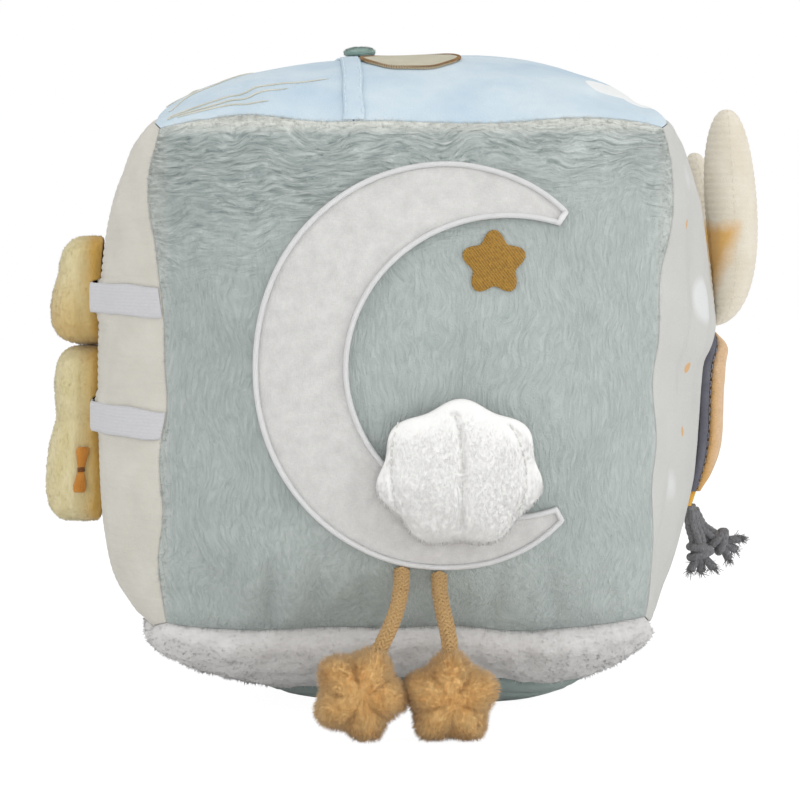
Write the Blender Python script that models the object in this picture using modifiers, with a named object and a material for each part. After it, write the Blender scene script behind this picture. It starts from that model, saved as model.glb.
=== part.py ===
"""Soft fabric activity block for a baby: six sewn panels over a fibre filling with a rattle in it.

Metres, +Z up. The origin is the middle of the flat under the bottom pad, and the front panel looks
along -Y. Every panel is a crowned sheet whose seams are drawn in, and the sewn-on pieces follow it.
"""

import math

import bmesh
import bpy
from mathutils import Matrix, Vector
from mathutils.geometry import interpolate_bezier

# Block: reach of a seam corner from the block's centre, how far a seam is drawn in, crown heights
CORNER_REACH = 0.078
SEAM_DRAW = 0.004
CORNER_DRAW_SHARE = 0.05
FRONT_CROWN = 0.020
BACK_CROWN = 0.018
LEFT_CROWN = 0.0175
RIGHT_CROWN = 0.018
TOP_CROWN = 0.0185
BOTTOM_CROWN = 0.020
CROWN_FALL_SHARE = 2.5
CROWN_ROUND_SHARE = 0.55
CORNER_FALL_SHARE = 4
PANEL_THICKNESS = 0.0016
CLEARANCE = 0.0003
PANEL_CELLS = 10
FILLING_CELLS = 5
FILLING_CLEARANCE = 0.0007
EDGE_MIX_SHARE = 0.75
SEAM_INSET_SHARE = 0.75
SOLVE_STEPS = 4

# Bottom pad: a padded velour disc, cut flat where the block rests
PAD_RADIUS = 0.054
PAD_THICKNESS = 0.006
PAD_X = 0.004
PAD_CELLS = 12
PAD_RIM_SHARE = 0.35
PAD_FALL_SHARE = 6
REST_CUT = 0.0005

# Top: two panels joined under a stitched band, a felt patch with an overlocked edge, a stuffed tab
TOP_JOIN_X = -0.017
TOP_BAND_WIDTH = 0.006
TOP_BAND_THICKNESS = 0.0008
TOP_BAND_REACH_SHARE = 0.95
TOP_BAND_CELLS = 14
PATCH_X = 0.003
PATCH_SEAM_REACH = 0.037
PATCH_Y = PATCH_SEAM_REACH - CORNER_REACH
PATCH_RADIUS = 0.016
PATCH_THICKNESS = 0.0012
PATCH_CELLS = 6
PATCH_EDGE_RADIUS = 0.0006
PATCH_EDGE_POINTS = 32
TAB_X = -0.0135
TAB_Y = -0.021
TAB_HALF_WIDTH = 0.0048
TAB_HALF_DEPTH = 0.0040
TAB_HEIGHT = 0.0054
TAB_SEGMENTS = 12
TAB_RINGS = 8

# Rattle: a two-part round case in the middle of the filling, with one loose ball
CASE_RADIUS = 0.018
CASE_WALL = 0.0015
CASE_STEPS = 16
CASE_ARC_STEPS = 5
CASE_MERGE_REACH = 0.00001
BALL_RADIUS = 0.006
BALL_PLAY = 0.0006
BALL_SEGMENTS = 12
BALL_RINGS = 6

# Moon: a felt crescent sewn to the front panel, with a raised satin-stitched border
MOON_X = 0.016
MOON_RISE = 0.0032
MOON_RADIUS = 0.050
MOON_HALF_WIDTH = 0.014
MOON_TIP_HALF_WIDTH = 0.0024
MOON_HALF_SPAN_DEG = 122.0
MOON_TAPER_SHARE = 2.4
FELT_THICKNESS = 0.0012
MOON_CELLS = (18, 2)
BORDER_RADIUS = 0.0008
BORDER_SIDE_POINTS = 19

# Star: an embroidered felt star in the moon's opening
STAR_X = 0.022
STAR_RISE = 0.033
STAR_RADIUS = 0.0095
STAR_THICKNESS = 0.0010
STAR_CELLS = 10
STAR_TIPS = 5
STAR_DEPTH_SHARE = 0.15

# Cloud flap: padded plush front, felt back and a crackling film between them, sewn at its top edge
FLAP_X = 0.012
FLAP_RISE = -0.027
FLAP_HALF_WIDTH = 0.0245
FLAP_HALF_HEIGHT = 0.0215
FLAP_BUMPS = 7
FLAP_BUMP_SHARE = 0.05
FLAP_BACK_THICKNESS = 0.0008
FLAP_FILM_THICKNESS = 0.0003
FLAP_FILM_INSET = 0.0020
FLAP_FRONT_RIM = 0.0010
FLAP_FRONT_PADDING = 0.0036
FLAP_FALL_SHARE = 3
FLAP_CELLS = 12
FLAP_BACK_CELLS = 8

# Danglers: two woven cords below the moon, each with a stuffed plush star
CORD_RADIUS = 0.00245
CORD_SEAT_SHARES = (0.585, 0.665)
CORD_SEAT_GAP = 0.0010
CORD_START_DEG = 30.0
CORD_POINTS = 9
CORD_TOP_RINGS_DEG = (78.0, 52.0, 26.0)
CORD_PULL_SHARE = 0.4
PLUSH_RADIUS = 0.0132
PLUSH_HALF_DEPTH = 0.0100
PLUSH_DEPTH_SHARE = 0.11
PLUSH_FORWARD = 0.0100
PLUSH_SEGMENTS = 20
PLUSH_RINGS = 8
PLUSH_LEFT_X = -0.0168
PLUSH_RIGHT_X = 0.0092
PLUSH_LEFT_LEAN_DEG = -24.0
PLUSH_RIGHT_LEAN_DEG = 0.0
PLUSH_FLOOR_GAP = 0.0008

# Left face: two elastic bands from seam to seam, and a stuffed chick that slides along each of them
BAND_WIDTH = 0.009
BAND_THICKNESS = 0.001
BAND_UPPER_RISE = 0.0217
BAND_LOWER_RISE = -0.0143
BAND_REACH_SHARE = 0.94
BAND_STRAIGHT_SHARE = 0.36
BAND_CELLS = 22
LOOP_THICKNESS = 0.0008
LOOP_LENGTH = 0.010
LOOP_PLAY = 0.0005
CHICK_SEGMENTS = 16
CHICK_RINGS = 8
UPPER_BODY_HALVES = (0.0092, 0.0150, 0.0115)
UPPER_BODY_DROP = 0.0040
UPPER_HEAD_HALVES = (0.0080, 0.0105, 0.0072)
UPPER_HEAD_OVERLAP = 0.0030
LOWER_BODY_HALVES = (0.0100, 0.0170, 0.0135)
LOWER_BODY_LIFT = 0.0070
LOWER_HEAD_HALVES = (0.0095, 0.0130, 0.0145)
LOWER_HEAD_OVERLAP = 0.0035
BEAK_THICKNESS = 0.0040
BEAK_HEIGHT = 0.0140
BEAK_LENGTH = 0.0060
UPPER_BEAK_HEIGHT_SHARE = 0.5
BEAK_TIP_SHARE = 0.35

# Right face: two stuffed petals, and a hanging padded pendant with knotted cotton cords
PETAL_BASE_RISE = 0.0125
PETAL_FRONT_HEIGHT = 0.0665
PETAL_FRONT_HALVES = (0.0082, 0.0075)
PETAL_FRONT_Y = -0.022
PETAL_FRONT_STAND = 0.0037
PETAL_REAR_HEIGHT = 0.0540
PETAL_REAR_HALVES = (0.0062, 0.0080)
PETAL_REAR_Y = 0.024
PETAL_REAR_STAND = 0.0010
PETAL_SEGMENTS = 12
PETAL_RINGS = 10
PETAL_BOW = 0.0055
PETAL_BOW_SHARE = 0.45
PENDANT_TOP_RISE = 0.0100
PENDANT_LENGTH = 0.0500
PENDANT_HALF_WIDTH = 0.0115
PENDANT_Y = 0.001
PENDANT_BACK_THICKNESS = 0.0016
PENDANT_RIM = 0.0012
PENDANT_PADDING = 0.0026
PENDANT_CELLS = (6, 10)
PENDANT_END_SHARE = 0.55
PENDANT_SIDE_FALL_SHARE = 4
PENDANT_END_FALL_SHARE = 6
PENDANT_TAB_HALF_WIDTH = 0.0040
PENDANT_TAB_LENGTH = 0.0045
TASSEL_RADIUS = 0.0017
TASSEL_KNOT_RADIUS = 0.0043
TASSEL_KNOT_HALF_LENGTH = 0.0035
TASSEL_POINTS = 12
TASSEL_KNOT_SHARE = 0.66
TASSEL_LONG_DROP = 0.0230
TASSEL_SHORT_DROP = 0.0150
TASSEL_SHORT_OUT = 0.0110
TASSEL_SPACING = 0.0095
TASSEL_PULL_SHARE = 0.5

CENTRE_Z = CORNER_REACH + BOTTOM_CROWN + CLEARANCE + PAD_THICKNESS - REST_CUT
CENTRE = Vector((0, 0, CENTRE_Z))

# Each face: outward axis, axis across it, axis up it, crown height
FACES = {
    "front": (Vector((0, -1, 0)), Vector((1, 0, 0)), Vector((0, 0, 1)), FRONT_CROWN),
    "back": (Vector((0, 1, 0)), Vector((-1, 0, 0)), Vector((0, 0, 1)), BACK_CROWN),
    "left": (Vector((-1, 0, 0)), Vector((0, -1, 0)), Vector((0, 0, 1)), LEFT_CROWN),
    "right": (Vector((1, 0, 0)), Vector((0, 1, 0)), Vector((0, 0, 1)), RIGHT_CROWN),
    "top": (Vector((0, 0, 1)), Vector((1, 0, 0)), Vector((0, 1, 0)), TOP_CROWN),
    "bottom": (Vector((0, 0, -1)), Vector((1, 0, 0)), Vector((0, -1, 0)), BOTTOM_CROWN),
}

# Finishes: colour as it looks on screen, roughness, metallic
FINISHES = {
    "sage_plush": ("A9B8B4", 0.95, 0.0),
    "blue_cotton": ("C9DDE8", 0.90, 0.0),
    "ivory_corduroy": ("E9E2D6", 0.95, 0.0),
    "printed_cotton": ("D6D6D2", 0.90, 0.0),
    "plain_cotton": ("CDD5D3", 0.90, 0.0),
    "cream_sherpa": ("D2D0CE", 1.00, 0.0),
    "sage_velour": ("9FB0AC", 0.90, 0.0),
    "fibre_filling": ("F4F4F2", 1.00, 0.0),
    "white_felt": ("DEDEE0", 0.95, 0.0),
    "white_satin": ("ECECEC", 0.60, 0.0),
    "mustard_satin": ("B8892C", 0.60, 0.0),
    "white_minky": ("E2E2DF", 0.95, 0.0),
    "clear_film": ("E8ECEE", 0.30, 0.0),
    "mustard_cord": ("C9A261", 0.85, 0.0),
    "mustard_plush": ("CF9F58", 0.95, 0.0),
    "white_elastic": ("CFCFD6", 0.80, 0.0),
    "yellow_plush": ("D8CD97", 0.95, 0.0),
    "orange_felt": ("C98A3A", 0.95, 0.0),
    "ivory_velour": ("E6DCCB", 0.95, 0.0),
    "slate_felt": ("6B6B75", 0.95, 0.0),
    "mustard_cotton": ("D3A26A", 0.90, 0.0),
    "yellow_cotton": ("D9A441", 0.90, 0.0),
    "grey_cotton_cord": ("7D7D80", 0.90, 0.0),
    "khaki_felt": ("C9C4AD", 0.95, 0.0),
    "brown_thread": ("9B8A68", 0.80, 0.0),
    "green_velour": ("A5C2B8", 0.95, 0.0),
    "white_plastic": ("E6E6E4", 0.45, 0.0),
    "steel_ball": ("B9BBBE", 0.30, 1.0),
}


def start_collections():
    """Empties the file and makes one collection for the block and one for its cutters."""
    for old in list(bpy.data.objects):
        bpy.data.objects.remove(old, do_unlink=True)
    made = []
    for name in ("soft_fabric_block", "cutters"):
        collection = bpy.data.collections.new(name)
        bpy.context.scene.collection.children.link(collection)
        made.append(collection)
    return made


PARTS, CUTTERS = start_collections()


def linear(channel):
    """Turns one screen colour channel, 0 to 1, into the linear value that a shader takes."""
    return channel / 12.92 if channel <= 0.04045 else ((channel + 0.055) / 1.055) ** 2.4


def finish(name):
    """The material of one finish, made the first time that a piece asks for it."""
    material = bpy.data.materials.get(name)
    if material is None:
        shade, roughness, metallic = FINISHES[name]
        colour = [linear(int(shade[i : i + 2], 16) / 255) for i in (0, 2, 4)]
        material = bpy.data.materials.new(name)
        material.use_nodes = True
        shader = material.node_tree.nodes["Principled BSDF"]
        shader.inputs["Base Color"].default_value = (*colour, 1.0)
        shader.inputs["Roughness"].default_value = roughness
        shader.inputs["Metallic"].default_value = metallic
    return material


def add_mesh(name, bm, finish_name, pivot=(0, 0, 0)):
    """Adds a piece modelled in world metres, with its origin at pivot."""
    bmesh.ops.translate(bm, verts=bm.verts, vec=-Vector(pivot))
    bmesh.ops.recalc_face_normals(bm, faces=bm.faces)
    mesh = bpy.data.meshes.new(name)
    bm.to_mesh(mesh)
    bm.free()
    mesh.shade_smooth()
    piece = bpy.data.objects.new(name, mesh)
    piece.location = pivot
    piece.data.materials.append(finish(finish_name))
    PARTS.objects.link(piece)
    return piece


def add_tube(name, points, radius, finish_name, pivot=(0, 0, 0), factors=None, closed=False, sides=1):
    """Adds a round cord through points, thinned or swollen at each point by its factor."""
    curve = bpy.data.curves.new(name, "CURVE")
    curve.dimensions = "3D"
    curve.bevel_depth = radius
    curve.bevel_resolution = sides
    curve.use_fill_caps = not closed
    spline = curve.splines.new("POLY")
    spline.points.add(len(points) - 1)
    spline.use_cyclic_u = closed
    for index, point in enumerate(points):
        spline.points[index].co = (*(Vector(point) - Vector(pivot)), 1.0)
        spline.points[index].radius = factors[index] if factors else 1.0
    piece = bpy.data.objects.new(name, curve)
    piece.location = pivot
    curve.materials.append(finish(finish_name))
    PARTS.objects.link(piece)
    return piece


def cut_away(piece, cutter):
    """Cuts cutter's shape out of piece, and keeps the cutter out of sight."""
    for collection in list(cutter.users_collection):
        collection.objects.unlink(cutter)
    CUTTERS.objects.link(cutter)
    cutter.hide_render = True
    cutter.display_type = "WIRE"
    cut = piece.modifiers.new("cut_" + cutter.name, "BOOLEAN")
    cut.operation = "DIFFERENCE"
    cut.solver = "EXACT"
    cut.object = cutter


def slab(cells, deep=1):
    """A cube of size 2 whose faces are divided into cells across, along and deep."""
    bm = bmesh.new()
    bmesh.ops.create_cube(bm, size=2.0)
    for axis, count in enumerate((*cells, deep)):
        lines = []
        for edge in bm.edges:
            run = edge.verts[1].co - edge.verts[0].co
            if abs(run[axis]) > abs(run[axis - 1]) + abs(run[axis - 2]):
                lines.append(edge)
        if count > 1:
            bmesh.ops.subdivide_edges(bm, edges=lines, cuts=count - 1, use_grid_fill=True)
    return bm


def ball(segments, rings, poles="Z"):
    """A unit sphere with its poles on the given axis."""
    bm = bmesh.new()
    turn = Matrix.Rotation(math.pi / 2, 4, "X") if poles == "Y" else Matrix.Identity(4)
    bmesh.ops.create_uvsphere(bm, u_segments=segments, v_segments=rings, radius=1.0, matrix=turn)
    return bm


def reshape(bm, place):
    """Moves every vertex to where place puts its unit coordinates."""
    for vert in bm.verts:
        vert.co = place(*vert.co)
    return bm


def box(low, high):
    """A plain box between two corners."""

    def place(*unit):
        return [a + (b - a) * (k + 1) / 2 for a, b, k in zip(low, high, unit)]

    return reshape(slab((1, 1)), place)


def eased(share):
    """Crowds evenly spaced shares towards both edges."""
    return EDGE_MIX_SHARE * math.sin(share * math.pi / 2) + (1 - EDGE_MIX_SHARE) * share


def swell(share):
    """Height of a stuffed panel's crown, 1 at its middle and 0 at its seam."""
    return max(0.0, 1 - abs(share) ** CROWN_FALL_SHARE) ** CROWN_ROUND_SHARE


def face_shape(face, s, t):
    """Distances across, up and out of the block's centre at shares s and t of a face."""
    crown = FACES[face][3]
    pull = 1 - CORNER_DRAW_SHARE * (s * t) ** CORNER_FALL_SHARE
    across = s * (CORNER_REACH - SEAM_DRAW * (1 - t * t))
    along = t * (CORNER_REACH - SEAM_DRAW * (1 - s * s))
    drawn = (1 - t * t) * s * s + (1 - s * s) * t * t
    out = CORNER_REACH - SEAM_DRAW * drawn + crown * swell(s) * swell(t)
    return across * pull, along * pull, out * pull


def shares_at(across, along):
    """The shares of a face at real distances across and up from its middle."""
    s = across / CORNER_REACH
    t = along / CORNER_REACH
    for _ in range(SOLVE_STEPS):
        pull = 1 - CORNER_DRAW_SHARE * (s * t) ** CORNER_FALL_SHARE
        s = across / (pull * (CORNER_REACH - SEAM_DRAW * (1 - t * t)))
        t = along / (pull * (CORNER_REACH - SEAM_DRAW * (1 - s * s)))
    return max(-1.0, min(1.0, s)), max(-1.0, min(1.0, t))


def on_face(face, across, along, lift):
    """The point that stands lift above a face, at real distances across and up from its middle."""
    out, across_axis, up_axis, _ = FACES[face]
    height = face_shape(face, *shares_at(across, along))[2]
    return CENTRE + across_axis * across + up_axis * along + out * (height + lift)


def height_over(face, point):
    """How far a point stands above a face."""
    out, across_axis, up_axis, _ = FACES[face]
    arm = Vector(point) - CENTRE
    return arm.dot(out) - face_shape(face, *shares_at(arm.dot(across_axis), arm.dot(up_axis)))[2]


def seat_on(face, bm, lift):
    """Moves a piece along the face's outward axis until its nearest point stands off by lift."""
    least = min(height_over(face, vert.co) for vert in bm.verts)
    bmesh.ops.translate(bm, verts=bm.verts, vec=FACES[face][0] * (lift - least))
    return bm


def disc_polar(s, t):
    """Turns a square's shares into a disc's radius share and angle."""
    return max(abs(s), abs(t)), math.atan2(t, s)


def star_reach(angle, depth_share):
    """Reach of a soft five-tipped star towards angle, 1 at its tips."""
    return 1 - depth_share + depth_share * math.cos(STAR_TIPS * (angle - math.pi / 2))


def panel(name, face, finish_name, low=-1.0, high=1.0):
    """One sewn panel: a crowned sheet between the seams, from share low to share high across."""
    out, across_axis, up_axis, _ = FACES[face]
    inset = 1 - SEAM_INSET_SHARE * CLEARANCE / CORNER_REACH
    grid = [eased(2 * index / PANEL_CELLS - 1) for index in range(PANEL_CELLS + 1)]
    stations = [low] + [share for share in grid if low < share < high] + [high]

    def place(s, t, side):
        share = stations[round((s + 1) / 2 * (len(stations) - 1))]
        across, along, height = face_shape(face, share, eased(t))
        shrink = 1 if side > 0 else 1 - PANEL_THICKNESS / CORNER_REACH
        return CENTRE + (across_axis * across * inset + up_axis * along * inset + out * height) * shrink

    return add_mesh(name, reshape(slab((len(stations) - 1, PANEL_CELLS)), place), finish_name)


def make_panels():
    """The six faces; the top is two panels that meet under the stitched band."""
    panel("front_panel", "front", "sage_plush")
    panel("back_panel", "back", "plain_cotton")
    panel("left_panel", "left", "ivory_corduroy")
    panel("right_panel", "right", "printed_cotton")
    panel("bottom_panel", "bottom", "cream_sherpa")
    join = TOP_JOIN_X / CORNER_REACH
    gap = CLEARANCE / CORNER_REACH
    panel("top_panel_left", "top", "blue_cotton", -1.0, join - gap)
    panel("top_panel_right", "top", "blue_cotton", join + gap, 1.0)


def make_filling():
    """The fibre filling: a front and a back half that close round the rattle case."""
    shrink = 1 - (PANEL_THICKNESS + FILLING_CLEARANCE) / CORNER_REACH

    def place(x, y, z):
        unit = Vector((x, y, z))
        for face, (out, across_axis, up_axis, _) in FACES.items():
            if unit.dot(out) > 1 - CLEARANCE:
                s, t = eased(unit.dot(across_axis)), eased(unit.dot(up_axis))
                across, along, height = face_shape(face, s, t)
                return CENTRE + (across_axis * across + up_axis * along + out * height) * shrink
        return CENTRE

    for name, side in (("filling_front", -1), ("filling_back", 1)):
        bm = reshape(slab((FILLING_CELLS, FILLING_CELLS), FILLING_CELLS), place)
        plane = Vector((0, side * CLEARANCE / 2, 0))
        whole = bm.verts[:] + bm.edges[:] + bm.faces[:]
        found = bmesh.ops.bisect_plane(
            bm, geom=whole, plane_co=plane, plane_no=(0, -side, 0), clear_outer=True
        )
        rim = [item for item in found["geom_cut"] if isinstance(item, bmesh.types.BMEdge)]
        bmesh.ops.contextual_create(bm, geom=rim)
        half = add_mesh(name, bm, "fibre_filling")
        room = CASE_RADIUS + FILLING_CLEARANCE
        hollow = reshape(
            ball(CASE_STEPS, CASE_STEPS // 2), lambda x, y, z: CENTRE + Vector((x, y, z)) * room
        )
        cut_away(half, add_mesh(name + "_hollow", hollow, "fibre_filling"))


def make_rattle():
    """The round rattle case, turned as two equal bowls, and the ball that lies in it."""
    quarter = math.pi / 2
    outer = [(CASE_RADIUS, i * quarter / CASE_ARC_STEPS) for i in range(CASE_ARC_STEPS + 1)]
    inner = [(CASE_RADIUS - CASE_WALL, angle) for _, angle in reversed(outer)]
    lift = CLEARANCE / 2
    for name, turn in (("rattle_case_upper", 0.0), ("rattle_case_lower", math.pi)):
        bm = bmesh.new()
        verts = []
        for radius, angle in outer + inner:
            height = max(radius * math.cos(angle), lift)
            verts.append(bm.verts.new((radius * math.sin(angle), 0, height)))
        for first, second in zip(verts, verts[1:]):
            bm.edges.new((first, second))
        bowl = add_mesh(name, bm, "white_plastic")
        bowl.location = CENTRE
        bowl.rotation_euler.x = turn
        screw = bowl.modifiers.new("turned", "SCREW")
        screw.steps = CASE_STEPS
        screw.render_steps = CASE_STEPS
        screw.use_merge_vertices = True
        screw.merge_threshold = CASE_MERGE_REACH
    drop = CASE_RADIUS - CASE_WALL - BALL_RADIUS - BALL_PLAY
    centre = CENTRE - Vector((0, 0, drop))
    round_ball = reshape(
        ball(BALL_SEGMENTS, BALL_RINGS), lambda x, y, z: centre + Vector((x, y, z)) * BALL_RADIUS
    )
    add_mesh("rattle_ball", round_ball, "steel_ball", centre)


def make_bottom_pad():
    """The padded disc under the block, thick in the middle, rounded at its rim, flat where it rests."""

    def place(s, t, side):
        reach, angle = disc_polar(s, t)
        across = PAD_X + PAD_RADIUS * reach * math.cos(angle)
        along = PAD_RADIUS * reach * math.sin(angle)
        full = PAD_RIM_SHARE + (1 - PAD_RIM_SHARE) * math.sqrt(1 - reach**PAD_FALL_SHARE)
        lift = CLEARANCE + (PAD_THICKNESS * full if side > 0 else 0)
        point = on_face("bottom", across, along, lift)
        point.z = max(point.z, 0)
        return point

    add_mesh("bottom_pad", reshape(slab((PAD_CELLS, PAD_CELLS)), place), "sage_velour")


def make_top_trim():
    """What is sewn on the top: the stitched band, the felt patch with its edging, the stuffed tab."""
    reach = CORNER_REACH * TOP_BAND_REACH_SHARE

    def place_band(s, t, side):
        lift = CLEARANCE + (TOP_BAND_THICKNESS if side > 0 else 0)
        return on_face("top", TOP_JOIN_X + s * TOP_BAND_WIDTH / 2, reach * eased(t), lift)

    add_mesh("top_seam_band", reshape(slab((1, TOP_BAND_CELLS)), place_band), "blue_cotton")

    def place_patch(s, t, side):
        share, angle = disc_polar(s, t)
        across = PATCH_X + PATCH_RADIUS * share * math.cos(angle)
        along = PATCH_Y + PATCH_RADIUS * share * math.sin(angle)
        return on_face("top", across, along, CLEARANCE + (PATCH_THICKNESS if side > 0 else 0))

    add_mesh("top_patch", reshape(slab((PATCH_CELLS, PATCH_CELLS)), place_patch), "khaki_felt")
    ring = PATCH_RADIUS - PATCH_EDGE_RADIUS
    lift = CLEARANCE + PATCH_THICKNESS + CLEARANCE + PATCH_EDGE_RADIUS
    points = []
    for index in range(PATCH_EDGE_POINTS):
        angle = 2 * math.pi * index / PATCH_EDGE_POINTS
        across, along = ring * math.cos(angle), ring * math.sin(angle)
        points.append(on_face("top", PATCH_X + across, PATCH_Y + along, lift))
    add_tube("top_patch_edge", points, PATCH_EDGE_RADIUS, "brown_thread", closed=True, sides=0)

    base = CLEARANCE + TOP_BAND_THICKNESS + CLEARANCE

    def place_tab(x, y, z):
        across = TAB_X + TAB_HALF_WIDTH * x
        return on_face("top", across, TAB_Y + TAB_HALF_DEPTH * y, base + TAB_HEIGHT * (z + 1) / 2)

    pivot = on_face("top", TAB_X, TAB_Y, base)
    add_mesh("top_tab", reshape(ball(TAB_SEGMENTS, TAB_RINGS), place_tab), "green_velour", pivot)


def moon_half_width(share):
    """Half the crescent's width at a share, -1 to 1, of its length."""
    full = max(0.0, 1 - abs(share) ** MOON_TAPER_SHARE)
    return MOON_TIP_HALF_WIDTH + (MOON_HALF_WIDTH - MOON_TIP_HALF_WIDTH) * full


def moon_place(share, side_reach):
    """Distances across and up the front at a share of the crescent's length and off its middle line."""
    angle = math.pi + share * math.radians(MOON_HALF_SPAN_DEG)
    radius = MOON_RADIUS + side_reach
    return MOON_X + radius * math.cos(angle), MOON_RISE + radius * math.sin(angle)


def make_moon():
    """The felt crescent and its raised border, one closed roll just inside the felt's edge."""

    def place(s, t, side):
        across, along = moon_place(s, t * moon_half_width(s))
        return on_face("front", across, along, CLEARANCE + (FELT_THICKNESS if side > 0 else 0))

    add_mesh("moon_felt", reshape(slab(MOON_CELLS), place), "white_felt")
    lift = CLEARANCE + FELT_THICKNESS + CLEARANCE + BORDER_RADIUS
    steps = BORDER_SIDE_POINTS - 1
    tip_inset = BORDER_RADIUS / (MOON_RADIUS * math.radians(MOON_HALF_SPAN_DEG))
    shares = [(2 * index / steps - 1) * (1 - tip_inset) for index in range(BORDER_SIDE_POINTS)]
    points = []
    for side, run in ((1, shares), (-1, reversed(shares))):
        for share in run:
            across, along = moon_place(share, side * (moon_half_width(share) - BORDER_RADIUS))
            points.append(on_face("front", across, along, lift))
    add_tube("moon_border", points, BORDER_RADIUS, "white_satin", closed=True, sides=0)


def make_star():
    """The embroidered star, a thin soft-tipped pad."""

    def place(s, t, side):
        share, angle = disc_polar(s, t)
        radius = STAR_RADIUS * share * star_reach(angle, STAR_DEPTH_SHARE)
        across = STAR_X + radius * math.cos(angle)
        along = STAR_RISE + radius * math.sin(angle)
        return on_face("front", across, along, CLEARANCE + (STAR_THICKNESS if side > 0 else 0))

    add_mesh("star_felt", reshape(slab((STAR_CELLS, STAR_CELLS)), place), "mustard_satin")


def flap_reach(angle):
    """Reach of the cloud's scalloped outline towards angle, as a share of its oval."""
    return 1 - FLAP_BUMP_SHARE + FLAP_BUMP_SHARE * math.cos(FLAP_BUMPS * (angle - math.pi / 2))


def make_flap():
    """The cloud flap's three layers, which turn together about the sewn top edge."""
    back_lift = 2 * (CLEARANCE + BORDER_RADIUS) + CLEARANCE + FELT_THICKNESS
    film_lift = back_lift + FLAP_BACK_THICKNESS + CLEARANCE
    front_lift = film_lift + FLAP_FILM_THICKNESS + CLEARANCE
    pivot = on_face("front", FLAP_X, FLAP_RISE + FLAP_HALF_HEIGHT, back_lift)

    def layer(name, cells, lift, thickness, padding, inset, finish_name):
        def place(s, t, side):
            share, angle = disc_polar(s, t)
            reach = share * flap_reach(angle)
            across = FLAP_X + (FLAP_HALF_WIDTH - inset) * reach * math.cos(angle)
            along = FLAP_RISE + (FLAP_HALF_HEIGHT - inset) * reach * math.sin(angle)
            rise = thickness + padding * math.sqrt(1 - share**FLAP_FALL_SHARE) if side > 0 else 0
            return on_face("front", across, along, lift + rise)

        add_mesh(name, reshape(slab((cells, cells)), place), finish_name, pivot)

    layer("flap_back", FLAP_BACK_CELLS, back_lift, FLAP_BACK_THICKNESS, 0, 0, "white_felt")
    layer("crinkle_film", FLAP_BACK_CELLS, film_lift, FLAP_FILM_THICKNESS, 0, FLAP_FILM_INSET, "clear_film")
    layer("flap_front", FLAP_CELLS, front_lift, FLAP_FRONT_RIM, FLAP_FRONT_PADDING, 0, "white_minky")


def make_dangler(side, seat_share, plush_x, lean_deg):
    """One woven cord, round at its sewn top where it turns, and the plush star at its end."""
    seat_reach = moon_half_width(seat_share) + CORD_SEAT_GAP + CORD_RADIUS
    pivot = on_face("front", *moon_place(seat_share, seat_reach), CLEARANCE + CORD_RADIUS)
    lowest = 1 - PLUSH_DEPTH_SHARE + PLUSH_DEPTH_SHARE * math.cos(math.pi - math.radians(lean_deg))
    middle = Vector((plush_x, pivot.y - PLUSH_FORWARD, PLUSH_FLOOR_GAP + PLUSH_RADIUS * lowest))
    lean = math.radians(lean_deg)

    def place(x, y, z):
        angle = math.atan2(z, x)
        flat = PLUSH_RADIUS * math.hypot(x, z) * star_reach(angle - lean, PLUSH_DEPTH_SHARE)
        return middle + Vector((flat * math.cos(angle), PLUSH_HALF_DEPTH * y, flat * math.sin(angle)))

    plush = reshape(ball(PLUSH_SEGMENTS, PLUSH_RINGS, "Y"), place)
    lift = PLUSH_FLOOR_GAP - min(vert.co.z for vert in plush.verts)
    bmesh.ops.translate(plush, verts=plush.verts, vec=(0, 0, lift))
    middle.z += lift
    add_mesh("plush_star_" + side, plush, "mustard_plush", pivot)

    tip_way = Vector((-math.sin(lean), 0, math.cos(lean)))
    end = middle + tip_way * (PLUSH_RADIUS + CLEARANCE)
    pull = (end - pivot).length * CORD_PULL_SHARE
    slant = math.radians(CORD_START_DEG)
    start_way = Vector((0, -math.sin(slant), -math.cos(slant)))
    route = interpolate_bezier(pivot, pivot + start_way * pull, end + tip_way * pull, end, CORD_POINTS)
    points = []
    factors = []
    for ring in CORD_TOP_RINGS_DEG:
        points.append(pivot - start_way * CORD_RADIUS * math.sin(math.radians(ring)))
        factors.append(math.cos(math.radians(ring)))
    points += route
    factors += [1.0] * len(route)
    add_tube("cord_" + side, points, CORD_RADIUS, "mustard_cord", pivot, factors)


def band_lift():
    """How far the straight middle of an elastic band stands off the left face's crown."""
    return CLEARANCE + LOOP_THICKNESS + LOOP_PLAY


def make_band(name, rise):
    """One elastic band, straight where the chick's loop slides and lying on the face beyond."""
    reach = CORNER_REACH * BAND_REACH_SHARE
    straight = CORNER_REACH * BAND_STRAIGHT_SHARE
    crown = CORNER_REACH + LEFT_CROWN

    def place(s, t, side):
        across = reach * eased(s)
        along = rise + t * BAND_WIDTH / 2
        point = on_face("left", across, along, CLEARANCE)
        beyond = max(0.0, (abs(across) - straight) / (reach - straight))
        held = 1 - (3 * beyond**2 - 2 * beyond**3)
        level = -(crown + band_lift())
        edge = on_face("left", math.copysign(min(abs(across), straight), across), along, CLEARANCE).x
        point.x = level if beyond == 0 else point.x + (level - edge) * held
        if side > 0:
            point.x -= BAND_THICKNESS
        return point

    add_mesh(name, reshape(slab((BAND_CELLS, 1)), place), "white_elastic")


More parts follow.
